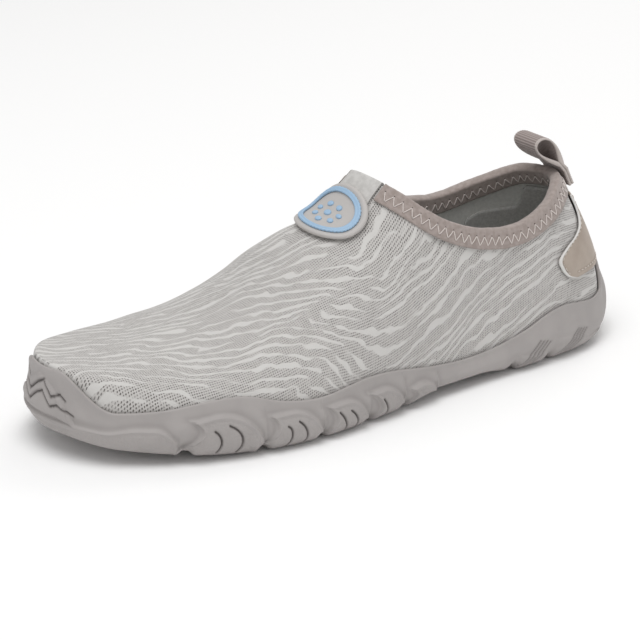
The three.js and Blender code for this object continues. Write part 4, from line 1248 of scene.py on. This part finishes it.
def makeBinding():
    start = insertHalf + binding["endGap"]
    edges = np.linspace(start, 2 - start, binding["stations"])
    skin, behind = foldedTape(edges, collar["deep"], collar["deep"], collar["tape"])
    i, j = np.meshgrid(*(np.arange(n) for n in skin.shape[:2]), indexing="ij")
    pucker = 0.16 * ripple(i / 9.0, j / 6.0 + 2.5) + 0.08 * ripple(i / 3.5 + 7, j / 3.0)
    skin = skin + tapeNormals(skin) * pucker[..., None]
    closedTape("collarBinding", skin, behind, bindingMaterial(), "binding", "collar_binding")
    steps, rowsPerMm = collar["steps"], collar["steps"] / collar["deep"]
    length = lengthAlong(skin[:, steps + (collar["foldSteps"] + 1) // 2])
    makeZigzag("outerStitches", skin, length, lambda deep: steps - deep * rowsPerMm)
    makeZigzag("innerStitches", skin, length, lambda deep: steps + collar["foldSteps"] + 1 + deep * rowsPerMm)


makeBinding()
print("the binding and its stitches are made")


def makeThroatInsert():
    edges = np.linspace(-insertHalf, insertHalf, 120)
    skin, behind = foldedTape(edges, collar["insertDeep"], collar["deep"], collar["elastic"])
    material, tree, shader = newMaterial("elastic", "#C4C2BF", 0.85)
    cloth = clothOf(tree)
    paintMottled(tree, shader, cloth, 0.4, 2, collar["elasticColours"])
    ribs = waves(tree, clothAxes(tree)[0], collar["elasticRib"])
    addBump(tree, shader, maths(tree, "MULTIPLY_ADD", ribs, 0.5, noise(tree, cloth, 3.0, 2)), 0.0001, 0.5)
    closedTape("throatElastic", skin, behind, material, "elastic", "throat_insert")


makeThroatInsert()
print("the throat insert is made")


# the heel patch

heelPatch = {
    "low": 33.2, "high": 63.2, "half": 52.5, "lift": 0.85, "thickness": 1.0,
    "upWay": (0, 0.06, 0.19, 0.33, 0.46, 0.54, 0.62, 0.73, 0.86, 1),
    "upHalf": (0.83, 0.92, 0.985, 1, 0.865, 0.71, 0.58, 0.475, 0.39, 0.35),
    "columns": 220, "rows": 44, "edgeColumns": 3, "edgeScale": 25,
    "edgeDrop": 0.3, "edgeWide": 0.5, "seamDrop": 0.22, "seamWide": 0.7, "wave": 0.15,
    "stitchIn": 2.1, "stitchPitch": 2.6, "stitchLength": 1.6, "stitchFrom": 0.5, "stitchLift": 0.22,
    "stitchRows": (3.5, 43), "lowRow": 3.2, "lowEnds": 0.05,
    "thread": 0.2, "hole": 0.26, "threadColour": "#CFC6BD",
    "colours": ("#A5978B", "#B0A397"), "edgeColour": "#DAD8D5",
}
patchHalf = curveThrough(heelPatch["upWay"], heelPatch["upHalf"])
heelArcTurns = np.linspace(0, 0.5, 2001)
heelArcLengths = lengthAlong(footPoint(heelArcTurns))


def patchMaterial():
    material, tree, shader = newMaterial("patch", "#AA9D91", 0.5, specular=0.45)
    place = placeOf(tree)
    paintMottled(tree, shader, place, 120, 3, heelPatch["colours"])
    skin = addBump(tree, shader, cells(tree, place, 1100), 0.0001, 0.4)
    addBump(tree, shader, noise(tree, place, 90, 2), 0.0004, 0.3, onto=skin)
    return material


def makeHeelPatch():
    rows, columns = heelPatch["rows"], heelPatch["columns"]
    up = np.linspace(0, 1, rows + 1)
    height = heelPatch["low"] + (heelPatch["high"] - heelPatch["low"]) * up
    across = np.linspace(-1, 1, columns + 1)
    half = heelPatch["half"] * patchHalf(up)[:, None]
    reach = half * np.abs(across)[None, :]
    turns = np.where(across < 0, -1.0, 1.0)[None, :] * np.interp(reach, heelArcLengths, heelArcTurns)
    sweeps = sweepAtHeight(turns, height[:, None] + 0 * reach)
    toEnds = np.minimum(up, 1 - up)[:, None] * heelPatch["edgeScale"]
    edge = np.minimum(half * (1 - np.abs(across))[None, :], toEnds)
    i, j = np.meshgrid(np.arange(rows + 1), np.arange(columns + 1), indexing="ij")
    drop = heelPatch["edgeDrop"] * np.exp(-(edge / heelPatch["edgeWide"]) ** 2)
    seam = heelPatch["seamDrop"] * np.exp(-((edge - heelPatch["stitchIn"]) / heelPatch["seamWide"]) ** 2)
    wave = heelPatch["wave"] * ripple(i / 9.0 + 3, j / 18.0)
    outer = offsetPoint(turns, sweeps, heelPatch["lift"] + heelPatch["thickness"] - drop - seam + wave)
    inner = offsetPoint(turns, sweeps, np.full(turns.shape, heelPatch["lift"]))
    points = np.concatenate([outer.reshape(-1, 3), inner.reshape(-1, 3)])
    faces = sheetQuads(numbered(*turns.shape))
    # The cut edge is pale on both side walls and on the outermost columns in front
    sheet = rows * columns
    fromEdge = np.arange(sheet) % columns
    pick = np.zeros(len(faces), int)
    pick[:sheet][np.minimum(fromEdge, columns - 1 - fromEdge) < heelPatch["edgeColumns"]] = 1
    pick[2 * sheet:2 * sheet + 2 * rows] = 1
    pale = newMaterial("cutEdge", heelPatch["edgeColour"], 0.7)[0]
    piece = makeMesh("heelPatch", points, facingOut(points, faces), [patchMaterial(), pale], pick=pick)
    own(piece, "patch", "heel_patch")
    return outer


# turns every face round when a closed mesh has its inside out
def facingOut(points, faces):
    faces = np.asarray(faces)
    a, b, c, d = (points[faces[:, k]] for k in range(4))
    volume = np.sum(a * np.cross(b, c)) + np.sum(a * np.cross(c, d))
    return (faces if volume > 0 else faces[:, ::-1]).tolist()


# Short stitches along a line of (row, column) places on the patch, with a needle hole at each end as a dark
# bead of painted shade
def stitchPatch(name, skin, line, thread):
    row, column = np.array(line, float).T
    way = lengthAlong(onSkin(skin, row, column, 0 * row))
    threads, shadedHoles = [], []
    t = np.linspace(0, 1, 7)
    s = heelPatch["stitchFrom"]
    while s + heelPatch["stitchLength"] < way[-1]:
        at = s + heelPatch["stitchLength"] * t
        lift = heelPatch["stitchLift"] * np.sin(math.pi * t) + 0.02
        threads.append(onSkin(skin, np.interp(at, way, row), np.interp(at, way, column), lift))
        shadedHoles += [threads[-1][0], threads[-1][-1]]
        s += heelPatch["stitchPitch"]
    threadTubes(name, threads, heelPatch["thread"], thread, "patch")
    makeShadedHoles(name + "Holes", shadedHoles, heelPatch["hole"], "patch")


def makePatchStitches(skin):
    rows, columns = heelPatch["rows"], heelPatch["columns"]
    pale = newMaterial("patchThread", heelPatch["threadColour"], 0.6, sheen=0.3)[0]
    for name, side in (("outer", 1), ("inner", -1)):
        line = []
        for row in np.linspace(*heelPatch["stitchRows"], 60):
            share = 1 - heelPatch["stitchIn"] / (heelPatch["half"] * float(patchHalf(row / rows)))
            line.append((row, columns / 2 * (1 + side * share)))
        stitchPatch(name + "PatchStitches", skin, line, pale)
    ends = heelPatch["lowEnds"]
    low = [(heelPatch["lowRow"], j) for j in np.linspace(columns * ends, columns * (1 - ends), 120)]
    stitchPatch("lowPatchStitches", skin, low, pale)


makePatchStitches(makeHeelPatch())
print("the heel patch is made")


# the badge on the instep: a plain rounded plate with a raised border and a ring of round pips

badge = {
    "length": 29, "width": 33, "power": 2.3, "taper": 0.1, "setback": 17, "aside": 3.5,
    "base": 1.57, "thickness": 1.8, "edgeRound": 0.9, "sink": 0.35, "foot": 0.35, "footInset": 0.985,
    "borderOuter": 0.84, "borderWidth": 2.2, "borderRise": 0.9,
    "beads": 27, "beadSize": 0.28, "grooveDepth": 0.3, "grooveWide": 0.22, "squareness": 0.45,
    "pips": 7, "pipRing": (5.4, 5.9), "pipSize": 1.35, "middlePip": 1.7, "pipSides": 24,
    "pipDome": ((1.0, 0.0), (1.0, 0.35), (0.92, 0.55), (0.7, 0.68), (0.35, 0.74)), "pipTop": 0.76,
    "steps": 14,
}
badgeTop = badge["base"] + badge["thickness"]
badgeRidge = [float(turnAt((last["throatAt"] + badge["setback"]) / last["length"]))], [quarter - 1e-6]
badgeWalk = walkOver(*badgeRidge, [[0.0, 1.0, 0.0]], badge["aside"], badge["steps"])
badgeCentre = [float(way[0]) for way in badgeWalk[-1]]


def badgeRadius(angle):
    along, wide, power = np.cos(angle), np.sin(angle), badge["power"]
    spread = np.abs(2 * along / badge["length"]) ** power + np.abs(2 * wide / badge["width"]) ** power
    return (1 - badge["taper"] * along) / spread ** (1 / power)


# places over the instep at an angle and a distance from the badge's middle
def badgeSpots(angle, distance):
    angle, distance = np.broadcast_arrays(np.asarray(angle, float), np.asarray(distance, float))
    heading = joined(np.cos(angle), np.sin(angle), 0 * angle)
    start = np.full(angle.shape, badgeCentre[0]), np.full(angle.shape, badgeCentre[1])
    return walkOver(*start, heading, np.maximum(distance, 1e-3), badge["steps"])[-1]


# Rings of points one inside the other, as a closed tube, or as a plate with a cap at its first and last ring
def ringMesh(name, spots, offsets, material, slotName, node, tube):
    rings = offsetPoint(*spots, offsets)
    count, rows = rings.shape[:2]
    ids = closed(numbered(count, rows))
    points = rings.reshape(-1, 3)
    if tube:
        faces = gridQuads(closed(ids, axis=1)).tolist()
    else:
        top, low = len(points), len(points) + 1
        points = np.concatenate([points, rings[:, [0, -1]].mean(axis=0)])
        faces = gridQuads(ids).tolist()
        for k in range(count):
            faces += [[top, ids[k, 0], ids[k + 1, 0]], [low, ids[k + 1, -1], ids[k, -1]]]
    piece = makeMesh(name, points, faces, [material])
    mesh = bmesh.new()
    mesh.from_mesh(piece.data)
    bmesh.ops.recalc_face_normals(mesh, faces=mesh.faces)
    mesh.to_mesh(piece.data)
    mesh.free()
    own(piece, slotName, node)


def badgeMaterial(name, colour, roughness, distance, strength):
    material, tree, shader = newMaterial(name, colour, roughness, specular=0.45)
    addBump(tree, shader, noise(tree, placeOf(tree), 1500, 2), distance, strength)
    return material


def blueMaterial():
    return badgeMaterial("badgeBlue", "#9CBAD5", 0.5, 0.00006, 0.4)


def makeBadge():
    angles = np.linspace(0, 2 * math.pi, 145)[:-1]
    shares = np.concatenate([np.linspace(0.02, 0.9, 16), np.linspace(0.92, 1, 8)])
    rounding = badge["edgeRound"] * (1 - np.sqrt(1 - np.clip((shares - 0.92) / 0.08, 0, 1) ** 2))
    sink = badge["sink"] * smooth((0.9 - shares) / 0.05)
    levels = np.concatenate([badgeTop - rounding - sink, [badge["base"] + badge["foot"], badge["base"]]])
    shares = np.concatenate([shares, [1.0, badge["footInset"]]])
    spots = badgeSpots(angles[:, None] + 0 * shares, badgeRadius(angles)[:, None] * shares[None, :])
    plain = badgeMaterial("badgeRubber", "#BBB7B4", 0.55, 0.00008, 0.5)
    offsets = np.broadcast_to(levels, (len(angles), len(levels)))
    ringMesh("badgePlate", spots, offsets, plain, "badge_rubber", "badge", False)


def makeBadgeBorder():
    angles = np.linspace(0, 2 * math.pi, 361)[:-1]
    outer = badge["borderOuter"]
    inner = outer - 2 * badge["borderWidth"] / badge["width"]
    base, top = badgeTop - badge["sink"], badgeTop + badge["borderRise"]
    beads = badge["beadSize"] * np.abs(np.sin(angles * badge["beads"]))
    around = np.linspace(0, 2 * math.pi, 17)[:-1]
    share = (outer + inner) / 2 + np.cos(around)[None, :] * (outer - inner) / 2
    distance = badgeRadius(angles)[:, None] * share + np.maximum(np.cos(around), 0)[None, :] * beads[:, None]
    lift = np.abs(np.sin(around)) ** badge["squareness"] * np.sign(np.sin(around))
    groove = badge["grooveDepth"] * np.exp(-((around - math.pi / 2) / badge["grooveWide"]) ** 2)
    offsets = np.broadcast_to((base + top) / 2 + lift * (top - base) / 2 - groove, distance.shape)
    spots = badgeSpots(angles[:, None] + 0 * distance, distance)
    ringMesh("badgeBorder", spots, offsets, blueMaterial(), "badge_border", "badge_rim", True)


# the motif: a ring of round pips about one in the middle
def makeBadgeMotif():
    base = badgeTop - badge["sink"]
    dome, sides = badge["pipDome"], badge["pipSides"]
    angles = np.linspace(0, 2 * math.pi, sides + 1)[:-1]
    long, wide = badge["pipRing"]
    places = [(0.0, 0.0, badge["middlePip"])]
    for a in np.arange(badge["pips"]) * 2 * math.pi / badge["pips"]:
        places.append((long * math.cos(a), wide * math.sin(a), badge["pipSize"]))
    points, faces, start = [], [], 0
    for x, y, size in places:
        for level, rise in (*dome, (0.0, badge["pipTop"])):
            px, py = x + size * level * np.cos(angles), y + size * level * np.sin(angles)
            if not level:
                px, py = px[:1], py[:1]
            spot = badgeSpots(np.arctan2(py, px), np.hypot(px, py))
            points.append(offsetPoint(*spot, base + rise + 0 * px))
        ids = closed(numbered(len(dome), sides, start), axis=1)
        top = start + len(dome) * sides
        faces += gridQuads(ids, True).tolist()
        faces += [[top, ids[-1, k], ids[-1, k + 1]] for k in range(sides)]
        start = top + 1
    own(makeMesh("badgePips", np.concatenate(points), faces, [blueMaterial()]), "badge_border")


makeBadge()
makeBadgeBorder()
makeBadgeMotif()
print("the badge is made")


# the pull loop

loop = {
    "tape": 1.3, "width": 15, "height": 21, "depth": 11.5, "stem": 8, "pinch": 5.5, "nod": 0.34, "gap": 0.6,
    "dropPower": 1.3, "breadth": 1.12, "seam": 0.04, "stemShort": 0.15,
    "rib": 1.04, "ribRise": 0.14, "ribMost": 0.1, "stations": 400, "across": 30,
    "selvage": 0.9, "selvageFlat": 0.6, "edgeDrop": 0.25, "edgeWide": 0.3, "paleFrom": (6.7, 6.95),
    # the rib colours are painted shade and light: darker in the rib valleys, lighter on the crests
    "threadApart": 0.35, "ribShadeColours": ("#8B7F7B", "#A99D99"), "paleEdge": "#C2B9B4",
}


def teardrop(half, height, foot, angle):
    breadth = half * np.sin(angle) * np.abs(np.sin(angle / 2)) ** loop["dropPower"]
    rise = foot + height * (1 - np.cos(angle)) / 2
    return np.stack([loop["nod"] * rise - loop["breadth"] * breadth, rise], axis=-1)


# The tape's outer and inner face from one end of the stem round the loop to the other, and the way along it
def loopTape():
    angle = np.linspace(0.0, 2 * math.pi, 301)
    tape, pinch, seam = loop["tape"], loop["pinch"], loop["seam"]
    outer = teardrop(loop["depth"] / 2, loop["height"], 0, angle)
    inner = teardrop(loop["depth"] / 2 - tape, loop["height"] - tape - pinch, pinch, angle)
    side = np.sign(math.pi - angle)
    nod = loop["nod"] * outer[:, 1]
    least = tape * (1 - 0.15 * smooth(outer[:, 1] / 4))
    closing = smooth((loop["height"] * 0.4 - outer[:, 1]) / 3)
    half = np.abs(outer[:, 0] - nod)
    width = half * (1 - closing) + np.maximum(half, least) * closing
    outer = np.stack([nod - side * width, outer[:, 1]], axis=-1)
    inner[:, 0] -= side * seam
    stem = np.linspace(-loop["stem"], -loop["stemShort"], 24)
    legs = {x: np.stack([np.full(stem.shape, x), stem], axis=-1) for x in (-tape, -seam, seam, tape)}
    outer = np.concatenate([legs[-tape], outer, legs[tape][::-1]])
    inner = np.concatenate([legs[-seam], inner, legs[seam][::-1]])
    length = lengthAlong((outer + inner) / 2)
    even = np.linspace(0, length[-1], loop["stations"])
    outer, inner = (
        np.stack([np.interp(even, length, line[:, k]) for k in (0, 1)], axis=-1) for line in (outer, inner)
    )
    return outer, inner, even


def webbingMaterial():
    material, tree, shader = newMaterial("webbing", "#9E928E", 0.85, specular=0.3, sheen=0.2)
    along, across = clothAxes(tree)
    # painted shade and light: the colour follows the ribs, dark in their valleys and light on their crests
    share = ramp(tree, waves(tree, along, loop["rib"]), -1, 1)
    shade = blendColours(tree, share, *(fromHex(colour) for colour in loop["ribShadeColours"]))
    rim = ramp(tree, maths(tree, "ABSOLUTE", across), *loop["paleFrom"])
    paint(tree, shader, blendColours(tree, rim, shade, fromHex(loop["paleEdge"])))
    addBump(tree, shader, waves(tree, across, loop["threadApart"]), 0.00004, 0.6)
    return material


def makePullLoop():
    outer, inner, length = loopTape()
    direction = unit(outer - inner)
    ribs = np.sin(2 * math.pi * length / loop["rib"])
    y = np.linspace(-1, 1, loop["across"] + 1) * loop["width"] / 2
    edge = loop["width"] / 2 - np.abs(y)
    ribShare = 1 - loop["selvageFlat"] * smooth((loop["selvage"] - edge) / 0.3)
    drop = loop["edgeDrop"] * np.exp(-(edge / loop["edgeWide"]) ** 2)
    wave = np.minimum(loop["ribRise"] * ribs[:, None] * ribShare[None, :] - drop[None, :], loop["ribMost"])
    heel, sweep = np.array([0.0]), collarEdge(np.array([1.0]))[1]
    climb = surfaceFrame(heel, sweep)[1][0]
    clear = loop["gap"] + collar["gap"] + collar["tape"]
    back = offsetPoint(heel, sweep, np.array([clear]))[0]
    tilt = math.atan2(climb[0], climb[2])
    sheets = []
    for line, sign in ((outer, 1), (inner, -1)):
        flat = line[:, None, :] + sign * direction[:, None, :] * wave[..., None]
        x, up = flat[..., 0] - loop["tape"], flat[..., 1]
        placedX = x * math.cos(tilt) + up * math.sin(tilt) + back[0]
        sheets.append(joined(placedX, y, up * math.cos(tilt) - x * math.sin(tilt) + back[2]).reshape(-1, 3))
    points = np.concatenate(sheets)
    faces = facingOut(points, sheetQuads(numbered(*wave.shape)))
    cloth = np.stack(np.broadcast_arrays(length[:, None], y[None, :]), axis=-1).reshape(-1, 2)
    piece = makeMesh("pullTape", points, faces, [webbingMaterial()], cloth=np.concatenate([cloth, cloth]))
    own(piece, "webbing", "pull_loop")


makePullLoop()
print("the pull loop is made")


# the floor under the shoe

def makeFloor(reach=3.0):
    mesh = bpy.data.meshes.new("floor")
    corners = [(-reach, -reach, 0), (reach, -reach, 0), (reach, reach, 0), (-reach, reach, 0)]
    mesh.from_pydata(corners, [], [(0, 1, 2, 3)])
    mesh.materials.append(newMaterial("floorWhite", "#FFFFFF", 0.9, specular=0.1)[0])
    floor = bpy.data.objects.new("floor", mesh)
    bpy.context.scene.collection.objects.link(floor)


makeFloor()
